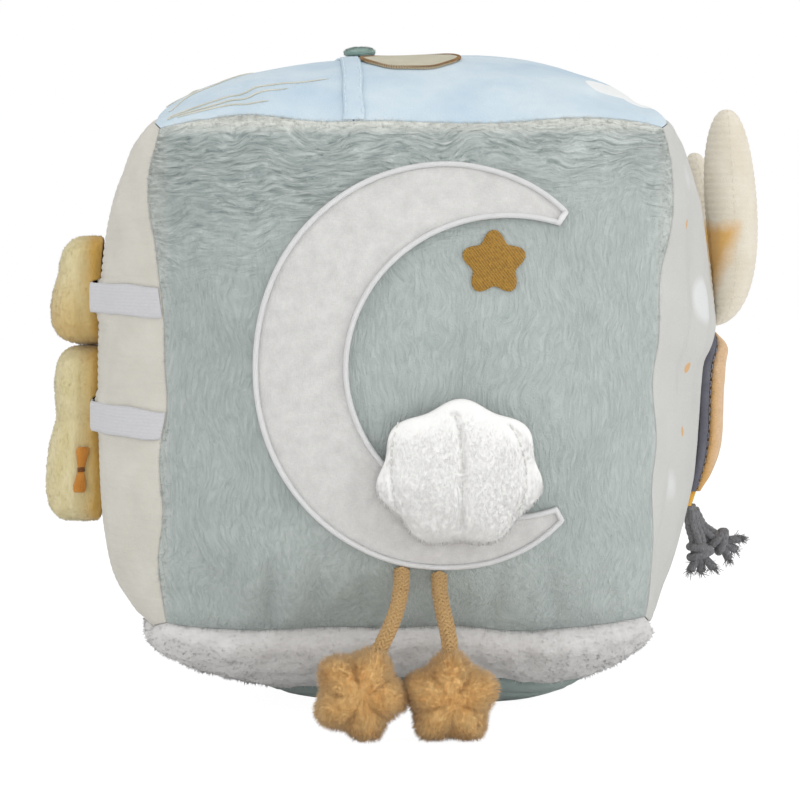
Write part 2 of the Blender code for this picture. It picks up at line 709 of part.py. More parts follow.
def make_chick(level_name, band_rise, body_halves, body_rise, head_halves, head_side, overlap, beak_side):
    """One stuffed chick: body and head, a felt beak, and the loop on its back that holds the band."""
    back = -(CORNER_REACH + LEFT_CROWN + CLEARANCE)
    inner = back - LOOP_THICKNESS
    outer = inner - LOOP_PLAY - BAND_THICKNESS - LOOP_PLAY
    loop_half = BAND_WIDTH / 2 + LOOP_PLAY
    band_z = CENTRE_Z + band_rise
    body = Vector((back - body_halves[0] / 2, 0, CENTRE_Z + body_rise))
    head_rise = head_side * (body_halves[2] + head_halves[2] - overlap)
    head = Vector((back - head_halves[0] / 2, 0, body.z + head_rise))

    def lump(centre, halves, spare=0.0):
        def place(x, y, z):
            out = centre + Vector([k * (half + spare) for k, half in zip((x, y, z), halves)])
            out.x = min(out.x, back + spare)
            return out

        return reshape(ball(CHICK_SEGMENTS, CHICK_RINGS), place)

    prefix = "chick_" + level_name
    body_piece = add_mesh(prefix + "_body", lump(body, body_halves), "yellow_plush")
    head_piece = add_mesh(prefix + "_head", lump(head, head_halves), "yellow_plush")
    cut_away(head_piece, add_mesh(prefix + "_neck", lump(body, body_halves, CLEARANCE), "yellow_plush"))
    room = loop_half + LOOP_THICKNESS + CLEARANCE
    reach = body_halves[1] + CLEARANCE
    low = (outer - LOOP_THICKNESS - CLEARANCE, -reach, band_z - room)
    high = (back + LOOP_THICKNESS, reach, band_z + room)
    for piece in (body_piece, head_piece):
        channel = add_mesh(piece.name + "_channel", box(low, high), "yellow_plush")
        cut_away(piece, channel)

    strap = loop_half + LOOP_THICKNESS
    low = (outer - LOOP_THICKNESS, -LOOP_LENGTH / 2, band_z - strap)
    high = (back, LOOP_LENGTH / 2, band_z + strap)
    loop = add_mesh(prefix + "_loop", box(low, high), "yellow_plush")
    low = (outer, -LOOP_LENGTH, band_z - loop_half)
    high = (inner, LOOP_LENGTH, band_z + loop_half)
    cut_away(loop, add_mesh(prefix + "_loop_hole", box(low, high), "yellow_plush"))

    height = BEAK_HEIGHT if beak_side < 0 else BEAK_HEIGHT * UPPER_BEAK_HEIGHT_SHARE
    middle = head + Vector((-head_halves[0] / 4, 0, head_side * head_halves[2] / 8))

    def place_beak(x, y, z):
        taper = 1 if y * beak_side < 0 else BEAK_TIP_SHARE
        return middle + Vector((x * taper * BEAK_THICKNESS / 2, 0, z * taper * height / 2))

    beak = slab((2, 1), 6)
    root = {}
    for vert in beak.verts:
        root[vert] = vert.co.y * beak_side
    reshape(beak, place_beak)
    for vert, depth in root.items():
        arm = vert.co - head
        inside = 1 - (arm.x / head_halves[0]) ** 2 - (arm.z / head_halves[2]) ** 2
        skin = head_halves[1] * math.sqrt(max(0.0, inside))
        vert.co.y = beak_side * (skin + 2 * CLEARANCE + BEAK_LENGTH * (depth + 1) / 2)
    add_mesh(prefix + "_beak", beak, "orange_felt")


def make_left_toys():
    """Both bands and both chicks of the left face."""
    make_band("band_upper", BAND_UPPER_RISE)
    make_band("band_lower", BAND_LOWER_RISE)
    upper_rise = BAND_UPPER_RISE - UPPER_BODY_DROP
    make_chick(
        "upper", BAND_UPPER_RISE, UPPER_BODY_HALVES, upper_rise, UPPER_HEAD_HALVES, 1, UPPER_HEAD_OVERLAP, 1
    )
    lower_rise = BAND_LOWER_RISE + LOWER_BODY_LIFT
    make_chick(
        "lower",
        BAND_LOWER_RISE,
        LOWER_BODY_HALVES,
        lower_rise,
        LOWER_HEAD_HALVES,
        -1,
        LOWER_HEAD_OVERLAP,
        -1,
    )


def make_petal(name, height, halves, y_place, stand):
    """One stuffed petal that rises from its sewn foot on the right face and bows out from it."""
    foot = on_face("right", y_place, PETAL_BASE_RISE, 0)

    def place(x, y, z):
        share = (z + 1) / 2
        out = stand * share + PETAL_BOW * math.sin(math.pi * share**PETAL_BOW_SHARE)
        return foot + Vector((out + x * halves[0], y * halves[1], share * height))

    bm = seat_on("right", reshape(ball(PETAL_SEGMENTS, PETAL_RINGS), place), 2 * CLEARANCE)
    low_point = min(bm.verts, key=lambda vert: vert.co.z).co
    add_mesh(name, bm, "ivory_velour", low_point.copy())


def pendant_width(share):
    """Half the pendant's width at a share, -1 at its foot to 1 at its top, of its length."""
    return PENDANT_HALF_WIDTH * (PENDANT_END_SHARE + (1 - PENDANT_END_SHARE) * (1 - share**2))


def make_pendant():
    """The hanging pendant: slate felt back, padded front, a short tab, and two knotted cords."""
    middle_rise = PENDANT_TOP_RISE - PENDANT_LENGTH / 2
    pivot = on_face("right", PENDANT_Y, PENDANT_TOP_RISE, CLEARANCE)
    front_lift = CLEARANCE + PENDANT_BACK_THICKNESS + CLEARANCE

    def layer(name, lift, thickness, padding, finish_name):
        def place(s, t, side):
            across = PENDANT_Y + s * pendant_width(t)
            along = middle_rise + t * PENDANT_LENGTH / 2
            full = math.sqrt((1 - s**PENDANT_SIDE_FALL_SHARE) * (1 - t**PENDANT_END_FALL_SHARE))
            return on_face("right", across, along, lift + (thickness + padding * full if side > 0 else 0))

        add_mesh(name, reshape(slab(PENDANT_CELLS), place), finish_name, pivot)

    layer("pendant_back", CLEARANCE, PENDANT_BACK_THICKNESS, 0, "slate_felt")
    layer("pendant_front", front_lift, PENDANT_RIM, PENDANT_PADDING, "mustard_cotton")
    foot_rise = PENDANT_TOP_RISE - PENDANT_LENGTH - CLEARANCE

    def place_tab(s, t, side):
        along = foot_rise - PENDANT_TAB_LENGTH * (1 - t) / 2
        lift = 2 * CLEARANCE + (PENDANT_BACK_THICKNESS if side > 0 else 0)
        return on_face("right", PENDANT_Y + s * PENDANT_TAB_HALF_WIDTH, along, lift)

    add_mesh("pendant_tab", reshape(slab((2, 2)), place_tab), "yellow_cotton", pivot)
    hang_rise = foot_rise - PENDANT_TAB_LENGTH - CLEARANCE - TASSEL_RADIUS
    plan = (
        ("tassel_cord_long", -TASSEL_SPACING / 4, TASSEL_LONG_DROP, 0.0),
        ("tassel_cord_short", TASSEL_SPACING * 3 / 4, TASSEL_SHORT_DROP, TASSEL_SHORT_OUT),
    )
    hinge = on_face("right", PENDANT_Y, hang_rise, 2 * CLEARANCE + TASSEL_RADIUS)
    for name, shift, drop, out in plan:
        start = hinge + Vector((0, shift / 2, 0))
        end = start + Vector((out, shift / 2, -drop))
        pull = drop * TASSEL_PULL_SHARE
        below = start - Vector((0, 0, pull))
        route = interpolate_bezier(start, below, end + Vector((-out / 2, 0, pull / 2)), end, TASSEL_POINTS)
        knot = route[round(TASSEL_KNOT_SHARE * (TASSEL_POINTS - 1))]
        points = []
        factors = []
        for ring in CORD_TOP_RINGS_DEG:
            points.append(start + Vector((0, 0, TASSEL_RADIUS * math.sin(math.radians(ring)))))
            factors.append(math.cos(math.radians(ring)))
        for point in route:
            near = (point - knot).length / TASSEL_KNOT_HALF_LENGTH
            points.append(point)
            factors.append(1 + (TASSEL_KNOT_RADIUS / TASSEL_RADIUS - 1) * math.exp(-(near**2)))
        add_tube(name, points, TASSEL_RADIUS, "grey_cotton_cord", hinge, factors)


def make_right_toys():
    """The petals and the pendant of the right face."""
    make_petal("petal_front", PETAL_FRONT_HEIGHT, PETAL_FRONT_HALVES, PETAL_FRONT_Y, PETAL_FRONT_STAND)
    make_petal("petal_rear", PETAL_REAR_HEIGHT, PETAL_REAR_HALVES, PETAL_REAR_Y, PETAL_REAR_STAND)
    make_pendant()


make_panels()
make_filling()
make_rattle()
make_bottom_pad()
make_top_trim()
make_moon()
make_star()
make_flap()
make_dangler("left", CORD_SEAT_SHARES[0], PLUSH_LEFT_X, PLUSH_LEFT_LEAN_DEG)
make_dangler("right", CORD_SEAT_SHARES[1], PLUSH_RIGHT_X, PLUSH_RIGHT_LEAN_DEG)
make_left_toys()
make_right_toys()
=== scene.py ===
"""Soft fabric activity block: the cloth, pile and thread of every piece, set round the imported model.

Metres, +Z up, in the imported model's own frame. The front panel looks along -Y.
"""

import math  # noqa: E402

import bmesh  # noqa: E402
import bpy  # noqa: E402
import numpy as np  # noqa: E402
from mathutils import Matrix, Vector, noise  # noqa: E402


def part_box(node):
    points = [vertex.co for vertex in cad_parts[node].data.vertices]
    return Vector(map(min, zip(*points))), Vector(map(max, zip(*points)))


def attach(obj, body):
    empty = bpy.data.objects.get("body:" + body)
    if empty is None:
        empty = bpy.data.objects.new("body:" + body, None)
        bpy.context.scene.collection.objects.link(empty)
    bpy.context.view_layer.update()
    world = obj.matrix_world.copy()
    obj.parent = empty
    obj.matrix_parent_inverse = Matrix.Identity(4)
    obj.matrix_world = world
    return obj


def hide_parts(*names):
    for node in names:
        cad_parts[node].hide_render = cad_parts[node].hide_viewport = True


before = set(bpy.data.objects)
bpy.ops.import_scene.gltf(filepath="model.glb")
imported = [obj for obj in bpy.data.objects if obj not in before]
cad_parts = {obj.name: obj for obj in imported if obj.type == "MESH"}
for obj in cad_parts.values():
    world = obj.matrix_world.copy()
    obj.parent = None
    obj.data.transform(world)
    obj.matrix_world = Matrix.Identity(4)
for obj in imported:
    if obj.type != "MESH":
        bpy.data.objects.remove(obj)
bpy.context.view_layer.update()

# Studio: the camera stands before the block, a little to its left and barely above its middle. The
# floor is pale and the world round it white, and four broad soft lamps light the block evenly.
BLOCK_MIDDLE = np.array((0.0, 0.0, 0.1038))
CAMERA_TURN = math.radians(-3.0)
CAMERA_RISE = math.radians(2.5)
CAMERA_DISTANCE = 1.1
CAMERA_AIM_DROP = 0.0113
CAMERA_LENS = 158.0
FLOOR_HALF = 3.0
SHADOW_SHARE = 0.13
FLOOR_GLOW = 1.12
FLOOR_TONE = 0.9
AMBIENT = 0.72
LAMPS = {
    "lamp_over": ((-0.05, -0.25, 1.35), 1.3, 2.6),
    "lamp_front": ((0.10, -1.7, 0.14), 0.9, 4.8),
    "lamp_left": ((-1.4, -0.9, 0.35), 0.9, 3.4),
    "lamp_right": ((1.4, -0.9, 0.35), 0.9, 6.4),
}


class Thread:
    """A value, colour or vector on its way through a shader. Sums on it add Math nodes."""

    def __init__(self, tree, socket=None):
        self.tree = tree
        self.socket = socket

    def node(self, kind, settings, sockets, output=0):
        """Adds any other node: its settings first, then the values or threads of its sockets."""
        made = self.tree.nodes.new("ShaderNode" + kind)
        for name, value in settings.items():
            setattr(made, name, value)
        for name, value in sockets.items():
            if isinstance(value, Thread):
                self.tree.links.new(value.socket, made.inputs[name])
            else:
                made.inputs[name].default_value = value
        return Thread(self.tree, made.outputs[output])

    def maths(self, operation, first, second=0.0):
        """Adds one Math node on two values or threads."""
        return self.node("Math", {"operation": operation}, {0: first, 1: second})

    def __add__(self, other):
        return self.maths("ADD", self, other)

    __radd__ = __add__

    def __sub__(self, other):
        return self.maths("SUBTRACT", self, other)

    def __rsub__(self, other):
        return self.maths("SUBTRACT", other, self)

    def __mul__(self, other):
        return self.maths("MULTIPLY", self, other)

    __rmul__ = __mul__


def aimed(thing, target):
    """Turns a camera or a lamp to look at a point, and puts it in the scene."""
    thing.rotation_euler = (target - thing.location).to_track_quat("-Z", "Y").to_euler()
    bpy.context.scene.collection.objects.link(thing)


def set_camera():
    back = Vector(
        (
            math.sin(CAMERA_TURN) * math.cos(CAMERA_RISE),
            -math.cos(CAMERA_TURN) * math.cos(CAMERA_RISE),
            math.sin(CAMERA_RISE),
        )
    )
    camera = bpy.data.objects.new("camera", bpy.data.cameras.new("camera"))
    camera.data.lens = CAMERA_LENS
    camera.location = Vector(BLOCK_MIDDLE) + back * CAMERA_DISTANCE
    aimed(camera, Vector(BLOCK_MIDDLE) - Vector((0, 0, CAMERA_AIM_DROP)))
    bpy.context.scene.camera = camera


def hang_lamps():
    for name, (place, size, power) in LAMPS.items():
        lamp = bpy.data.objects.new(name, bpy.data.lights.new(name, "AREA"))
        lamp.data.shape = "DISK"
        lamp.data.size = size
        lamp.data.energy = power
        lamp.location = place
        aimed(lamp, Vector(BLOCK_MIDDLE))


def light_room():
    """A white room, which is brighter to the camera and in reflections than the light that it gives."""
    world = bpy.data.worlds.new("white_room")
    world.use_nodes = True
    bpy.context.scene.world = world
    seen = Thread(world.node_tree).node("LightPath", {}, {}, "Is Camera Ray")
    for ray in ("Is Glossy Ray", "Is Transmission Ray"):
        seen = seen.maths("MAXIMUM", seen, seen.node("LightPath", {}, {}, ray))
    backdrop = world.node_tree.nodes["Background"]
    backdrop.inputs["Color"].default_value = (1, 1, 1, 1)
    strength = AMBIENT + seen * (1 - AMBIENT)
    world.node_tree.links.new(strength.socket, backdrop.inputs["Strength"])


def lay_floor():
    """A pale floor that glows white to the camera, with a soft share of the shadows on it."""
    mesh = bpy.data.meshes.new("floor")
    corners = [(-1, -1), (1, -1), (1, 1), (-1, 1)]
    mesh.from_pydata([(x * FLOOR_HALF, y * FLOOR_HALF, 0) for x, y in corners], [], [(0, 1, 2, 3)])
    floor = bpy.data.objects.new("floor", mesh)
    bpy.context.scene.collection.objects.link(floor)
    paint = bpy.data.materials.new("white_floor")
    paint.use_nodes = True
    tree = paint.node_tree
    shader = tree.nodes["Principled BSDF"]
    shader.inputs["Base Color"].default_value = (FLOOR_TONE, FLOOR_TONE, FLOOR_TONE, 1)
    shader.inputs["Roughness"].default_value = 1.0
    shader.inputs["Specular IOR Level"].default_value = 0.0
    start = Thread(tree)
    camera_ray = start.node("LightPath", {}, {}, "Is Camera Ray")
    glow = start.node("Emission", {}, {"Color": (1, 1, 1, 1), "Strength": FLOOR_GLOW})
    lit = Thread(tree, shader.outputs[0])
    shown = start.node("MixShader", {}, {0: camera_ray * (1 - SHADOW_SHARE), 1: lit, 2: glow})
    tree.links.new(shown.socket, tree.nodes["Material Output"].inputs["Surface"])
    mesh.materials.append(paint)


bpy.context.scene.view_settings.view_transform = "Standard"
set_camera()
hang_lamps()
light_room()
lay_floor()

# Front panel: sage plush with a short brushed pile. Every panel of the block is a crowned sheet, held
# at its seams and puffed out by the filling, so a cloth simulation gives it its gathers and hollows.
REACH = 0.078
DRAW = 0.004
FACES = {
    "front": ((0, -1, 0), (1, 0, 0), (0, 0, 1), 0.020),
    "back": ((0, 1, 0), (-1, 0, 0), (0, 0, 1), 0.018),
    "left": ((-1, 0, 0), (0, -1, 0), (0, 0, 1), 0.0175),
    "right": ((1, 0, 0), (0, 1, 0), (0, 0, 1), 0.018),
    "top": ((0, 0, 1), (1, 0, 0), (0, 1, 0), 0.0185),
    "bottom": ((0, 0, -1), (1, 0, 0), (0, -1, 0), 0.020),
}
EASES = {
    "front": (0.36, 0.30),
    "back": (0.36, 0.30),
    "left": (0.36, 0.10),
    "right": (0.30, 0.10),
    "top": (0.10, 0.25),
    "bottom": (0.0, 0.0),
}
CROWN_SPREAD, CROWN_ROUNDNESS = 2.5, 0.55
CORNER_PULL = 0.05
LEFT_DRAWN_IN = 0.0013
RIGHT_DRAWN_IN, DRAWN_IN_BELOW = 0.0036, 0.0040
RIGHT_HELD_OUT, HELD_OUT_AT = 0.0014, 0.0150
SEAM_GAP = 0.0002
PANEL_DEPTH = 0.0014
SETTLE_CELLS = 56
SETTLE_FRAMES = 20
SETTLE_SPREAD = 8
SETTLE_START = 0.0012
SLACK_SHARE = {"front": 0.55, "back": 0.5, "left": 0.35, "right": 0.55, "top": 0.45, "bottom": 0.3}
SLACK_LIMIT = 0.0016
UPSAMPLE = 4
SLACK = {}
CORNER_TUCK = 0.050
PULLS = (
    ((0.076, -0.078, 0.052), 0.027, (0.0020, 0.0, 0.0)),
    ((0.076, -0.078, 0.020), 0.030, (-0.0024, 0.0, 0.0)),
    ((0.076, -0.078, -0.020), 0.030, (-0.0022, 0.0, 0.0)),
    ((0.076, -0.078, -0.060), 0.030, (-0.0022, 0.0, 0.0)),
    ((-0.076, -0.078, 0.055), 0.030, (-0.0020, 0.0, 0.0)),
    ((-0.076, -0.078, 0.010), 0.034, (0.0024, 0.0, 0.0)),
    ((-0.076, -0.078, -0.055), 0.032, (0.0018, 0.0, 0.0)),
    ((0.078, -0.050, -0.070), 0.044, (-0.0028, 0.0, 0.0)),
    ((-0.080, -0.028, -0.072), 0.038, (-0.0046, 0.0, -0.0006)),
    ((-0.057, 0.000, 0.092), 0.034, (0.0, 0.0, -0.0038)),
    ((-0.002, -0.014, 0.096), 0.020, (0.0, 0.0, -0.0018)),
    ((0.036, -0.006, 0.094), 0.030, (0.0, 0.0, 0.0010)),
    ((0.048, -0.030, -0.094), 0.030, (0.0, 0.0, -0.0022)),
    ((0.094, 0.004, -0.048), 0.034, (0.0018, 0.0, 0.0)),
)
FOLDS = {
    "front": (
        (-0.0610, -0.0630, 0.0085, 0.0085, 20, -0.0024),
        (-0.0425, -0.0670, 0.0026, 0.0120, 4, -0.0019),
        (-0.0360, -0.0640, 0.0038, 0.0120, 0, 0.0009),
        (-0.0500, -0.0660, 0.0036, 0.0110, -6, 0.0008),
        (-0.0290, -0.0680, 0.0024, 0.0100, -8, -0.0010),
        (-0.0150, -0.0690, 0.0028, 0.0080, 6, -0.0010),
        (0.0240, -0.0680, 0.0028, 0.0100, -5, -0.0011),
        (0.0420, -0.0660, 0.0032, 0.0110, 8, -0.0012),
        (0.0600, -0.0640, 0.0040, 0.0100, 16, -0.0010),
        (-0.0700, 0.0200, 0.0050, 0.0090, 0, -0.0014),
        (-0.0660, 0.0460, 0.0100, 0.0036, 6, -0.0008),
        (-0.0640, -0.0200, 0.0040, 0.0160, -10, -0.0007),
        (0.0700, 0.0480, 0.0032, 0.0170, 8, -0.0013),
        (0.0690, -0.0260, 0.0034, 0.0180, -6, -0.0010),
        (0.0600, 0.0120, 0.0050, 0.0200, -14, -0.0008),
        (-0.0300, 0.0660, 0.0160, 0.0030, -3, -0.0006),
        (0.0350, 0.0680, 0.0180, 0.0028, 2, -0.0006),
    ),
}
FOLD_STRENGTH = 1.4
WANDER_WAVES = 9
WANDER = 0.00052
WANDER_PACE, WANDER_PACE_SPREAD = 260, 130
waves = np.random.RandomState(2).uniform(-1, 1, (WANDER_WAVES, 9))


def swell(share, ease=0.0):
    """Height of a stuffed panel's crown, 1 at its middle and 0 at its seam, which it eases down to."""
    roundness = CROWN_ROUNDNESS + ease * np.abs(share) ** 6
    return np.clip(1 - np.abs(share) ** CROWN_SPREAD, 0, None) ** roundness


def pull_of(s, t):
    """How far a face's corners are drawn in towards the middle, as a factor."""
    return 1 - CORNER_PULL * (s * t) ** 4


def face_spots(face, s, t):
    """Distances across, up and out of the block's middle at shares s and t of a face."""
    pull = pull_of(s, t)
    across = s * (REACH - DRAW * (1 - t * t))
    along = t * (REACH - DRAW * (1 - s * s))
    drawn = (1 - t * t) * s * s + (1 - s * s) * t * t
    ease_s, ease_t = EASES[face]
    out = REACH - DRAW * drawn + FACES[face][3] * swell(s, ease_s) * swell(t, ease_t)
    return across * pull, along * pull, out * pull + face_fall(face, s, t)


def face_fall(face, s, t):
    """How far a face stands out of its even crown: the side toys draw the left and right ones in."""
    if face == "left":
        return -LEFT_DRAWN_IN * np.exp(-((s / 0.62) ** 4) - (((t + 0.05) / 0.66) ** 4))
    if face != "right":
        return 0.0
    rise = t * REACH
    drawn_in = RIGHT_DRAWN_IN / (1 + np.exp((rise - DRAWN_IN_BELOW) / 0.0022))
    held_out = RIGHT_HELD_OUT * np.exp(-(((rise - HELD_OUT_AT) / 0.0085) ** 2))
    return (held_out - drawn_in) * (1 - s**6) * (1 - t**8)


def shares_of(across, along):
    """The shares of a face at real distances across and up from its middle."""
    s, t = across / REACH, along / REACH
    for _ in range(4):
        pull = pull_of(s, t)
        s = across / (pull * (REACH - DRAW * (1 - t * t)))
        t = along / (pull * (REACH - DRAW * (1 - s * s)))
    return np.clip(s, -1, 1), np.clip(t, -1, 1)


def blurred(field, reach):
    """A field smoothed over reach cells each way."""
    kernel = np.hanning(2 * reach + 3)[1:-1]
    kernel /= kernel.sum()
    for axis in (0, 1):
        width = [(reach, reach) if a == axis else (0, 0) for a in (0, 1)]
        padded = np.pad(field, width, mode="edge")
        field = np.apply_along_axis(lambda row: np.convolve(row, kernel, "valid"), axis, padded)
    return field


def settle(face, seed):
    """Puffs one face out as cloth held at its seams, and keeps how its gathers stand off its crown."""
    line = np.linspace(-1, 1, SETTLE_CELLS + 1)
    s, t = np.meshgrid(line, line)
    rest = np.stack(face_spots(face, s, t), -1)
    rough = np.random.RandomState(seed).uniform(-1, 1, s.shape)
    rest[..., 2] += blurred(rough, 2) * SETTLE_START * (1 - s * s) * (1 - t * t)
    count = SETTLE_CELLS + 1
    index = np.arange(count * count).reshape(count, count)
    quads = np.stack((index[:-1, :-1], index[:-1, 1:], index[1:, 1:], index[1:, :-1]), -1)
    mesh = bpy.data.meshes.new("settling")
    mesh.from_pydata(rest.reshape(-1, 3).tolist(), [], quads.reshape(-1, 4).tolist())
    cloth_piece = bpy.data.objects.new("settling", mesh)
    bpy.context.scene.collection.objects.link(cloth_piece)
    seam = cloth_piece.vertex_groups.new(name="seam")
    held = np.concatenate((index[0], index[-1], index[:, 0], index[:, -1]))
    seam.add(held.tolist(), 1.0, "REPLACE")
    puff = cloth_piece.modifiers.new("puff", "CLOTH")
    puff.settings.quality = 6
    puff.settings.mass = 0.15
    puff.settings.tension_stiffness = 10
    puff.settings.compression_stiffness = 10
    puff.settings.shear_stiffness = 3
    puff.settings.bending_stiffness = 0.05
    puff.settings.vertex_group_mass = "seam"
    puff.settings.use_pressure = True
    puff.settings.uniform_pressure_force = 4
    puff.settings.shrink_min = -0.04
    puff.settings.effector_weights.gravity = 0
    puff.collision_settings.use_collision = False
    for step in range(1, SETTLE_FRAMES + 1):
        bpy.context.scene.frame_set(step)
    puffed = cloth_piece.evaluated_get(bpy.context.evaluated_depsgraph_get())
    height = np.array([vert.co.z for vert in puffed.data.vertices]).reshape(count, count)
    bpy.data.objects.remove(cloth_piece)
    bpy.context.scene.frame_set(1)
    moved = height - np.stack(face_spots(face, s, t), -1)[..., 2]
    folds = moved - blurred(moved, SETTLE_SPREAD)
    fine = np.linspace(0, SETTLE_CELLS, SETTLE_CELLS * UPSAMPLE + 1)
    for _ in (0, 1):
        folds = np.array([np.interp(fine, np.arange(count), row) for row in folds]).T
    folds = blurred(folds, UPSAMPLE)
    folds = np.clip(folds * SLACK_SHARE[face], -SLACK_LIMIT, SLACK_LIMIT)
    edge = np.linspace(-1, 1, len(fine))
    fade = np.clip((1 - np.abs(edge)) * 12, 0, 1)
    SLACK[face] = folds * np.outer(fade, fade)


def slack(face, s, t):
    """How far the gathers of a face stand off its crown."""
    pressed = np.zeros_like(s)
    for across, along, wide, tall, lean, height in FOLDS.get(face, ()):
        turn = math.radians(lean)
        over, up = s * REACH - across, t * REACH - along
        beside = over * math.cos(turn) + up * math.sin(turn)
        beyond = up * math.cos(turn) - over * math.sin(turn)
        pressed = pressed + height * np.exp(-((beside / wide) ** 2) - (beyond / tall) ** 2)
    pressed = FOLD_STRENGTH * pressed * np.clip((1 - np.maximum(np.abs(s), np.abs(t))) * 40, 0, 1)
    if face not in SLACK:
        return pressed
    folds = SLACK[face]
    last = len(folds) - 1
    column = np.clip((s + 1) / 2 * last, 0, last - 1e-6)
    row = np.clip((t + 1) / 2 * last, 0, last - 1e-6)
    i, j = row.astype(int), column.astype(int)
    v, u = row - i, column - j
    low = folds[i, j] * (1 - u) + folds[i, j + 1] * u
    high = folds[i + 1, j] * (1 - u) + folds[i + 1, j + 1] * u
    return low * (1 - v) + high * v + pressed


def set_out(face, across, along, out):
    """Points at those distances across, up and out of the block's middle."""
    out_way, across_way, up_way = (np.array(way, float) for way in FACES[face][:3])
    across, along, out = (np.asarray(one)[..., None] for one in np.broadcast_arrays(across, along, out))
    offset = across * across_way + along * up_way + out * out_way
    corner = np.clip(np.abs(across * along) / REACH**2, 0, 1)
    offset = offset * (1 - CORNER_TUCK * corner**6)
    pulled = np.zeros_like(offset)
    for centre, radius, shift in PULLS:
        away = ((offset - np.array(centre)) ** 2).sum(-1, keepdims=True)
        pulled += np.array(shift) * np.exp(-away / radius**2)
    offset = offset + pulled
    near = np.clip(np.maximum(np.abs(across), np.abs(along)) / (REACH * 0.98), 0, 1) ** 7
    wander = np.zeros_like(offset)
    for wave in waves:
        pace = WANDER_PACE + WANDER_PACE_SPREAD * wave[6]
        turn = (offset * wave[:3]).sum(-1, keepdims=True) * pace + 3 * wave[7]
        wander += np.sin(turn) * wave[3:6] * WANDER
    return BLOCK_MIDDLE + offset + wander * near


def on_cloth(face, across, along, lift):
    """Points that stand lift off the cloth of a face, at real distances across and up from its middle."""
    across, along, lift = np.broadcast_arrays(np.float64(across), np.float64(along), np.float64(lift))
    s, t = shares_of(across, along)
    return set_out(face, across, along, face_spots(face, s, t)[2] + slack(face, s, t) + lift)


def eased(count):
    """Shares from -1 to 1, crowded towards both seams, where the cloth turns most."""
    share = np.linspace(-1, 1, count)
    return 0.75 * np.sin(share * math.pi / 2) + 0.25 * share


def shell(outer, inner):
    """A closed sheet between two grids of points, with its map for baking."""
    rows, columns = outer.shape[:2]
    index = np.arange(rows * columns).reshape(rows, columns)
    top = np.stack((index[:-1, :-1], index[:-1, 1:], index[1:, 1:], index[1:, :-1]), -1).reshape(-1, 4)
    rim = np.concatenate((index[0, :-1], index[:-1, -1], index[-1, :0:-1], index[:0:-1, 0]))
    after = np.roll(rim, -1)
    walls = np.stack((after, rim, rim + rows * columns, after + rows * columns), -1)
    points = np.concatenate((outer.reshape(-1, 3), inner.reshape(-1, 3)))
    faces = [*top.tolist(), *(top[:, ::-1] + rows * columns).tolist(), *walls.tolist()]
    u, v = np.meshgrid(np.linspace(0, 1, columns), np.linspace(0, 1, rows))
    flat = np.stack((u.ravel(), v.ravel()), 1)
    place = np.arange(len(rim)) / len(rim)
    beyond = place + 1 / len(rim)
    low, high = np.full(len(rim), 0.98), np.full(len(rim), 0.999)
    wall_map = np.stack((beyond, low, place, low, place, high, beyond, high), 1).reshape(-1, 2)
    bake = (flat[top.ravel()] * (1, 0.94), flat[top[:, ::-1].ravel()] * (1, 0.02) + (0, 0.95), wall_map)
    return points, faces, np.concatenate(bake)


def sew(name, form, material, body, nodes=()):
    """Makes one piece of points and faces, which rides on its body and stands for its solids."""
    mesh = bpy.data.meshes.new(name)
    mesh.from_pydata(np.asarray(form[0]).tolist(), [], form[1])
    if len(form) > 2:
        layer = mesh.uv_layers.new(name="OFBake")
        layer.uv.foreach_set("vector", form[2].astype(np.float32).ravel())
    bm = bmesh.new()
    bm.from_mesh(mesh)
    bmesh.ops.recalc_face_normals(bm, faces=bm.faces)
    bm.to_mesh(mesh)
    bm.free()
    mesh.shade_smooth()
    if len(form) > 3:
        normals = np.array([one.vector for one in mesh.vertex_normals])
        normals[-len(form[3]) :] = form[3]
        mesh.normals_split_custom_set_from_vertices(normals.tolist())
    mesh.materials.append(material)
    piece = bpy.data.objects.new(name, mesh)
    bpy.context.scene.collection.objects.link(piece)
    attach(piece, body)
    if nodes:
        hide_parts(*nodes)
    return piece


def raised(grid, height):
    """A grid of points moved off the block along the normals of its own surface."""
    normal = np.cross(np.gradient(grid, axis=1), np.gradient(grid, axis=0))
    normal /= np.linalg.norm(normal, axis=-1, keepdims=True) + 1e-15
    if (normal * (grid - BLOCK_MIDDLE)).sum() < 0:
        normal = -normal
    return grid + normal * np.asarray(height)[..., None]


def panel(face, s_line, t_line, relief=0.0):
    """One panel of the block, from seam to seam, with its relief standing off the cloth."""
    s, t = np.meshgrid(s_line, t_line)
    across, along, out = face_spots(face, s, t)
    out = out + slack(face, s, t)
    inset = 1 - SEAM_GAP / REACH
    inner = set_out(face, across * inset, along * inset, out)
    outer = raised(inner, relief + 0 * s)
    inner = BLOCK_MIDDLE + (inner - BLOCK_MIDDLE) * (1 - PANEL_DEPTH / REACH)
    return shell(outer, inner)


def shade(code):
    """A colour as it looks on screen, in the linear values that a shader takes."""
    channels = [int(code[i : i + 2], 16) / 255 for i in (0, 2, 4)]
    return (*(c / 12.92 if c <= 0.04045 else ((c + 0.055) / 1.055) ** 2.4 for c in channels), 1)


def cloth(name, roughness=0.95, sheen=0.0, shine=0.15):
    """A cloth's material, and the thread of places on it that its pattern starts from."""
    material = bpy.data.materials.new(name)
    material.use_nodes = True
    shader = material.node_tree.nodes["Principled BSDF"]
    shader.inputs["Roughness"].default_value = roughness
    shader.inputs["Sheen Weight"].default_value = sheen
    shader.inputs["Sheen Roughness"].default_value = 0.5
    shader.inputs["Specular IOR Level"].default_value = shine
    return material, Thread(material.node_tree).node("TexCoord", {}, {}, "Object")


def part_of(where, axis):
    """How far a place lies along x, y or z, by its number."""
    return where.node("SeparateXYZ", {}, {0: where}, axis)


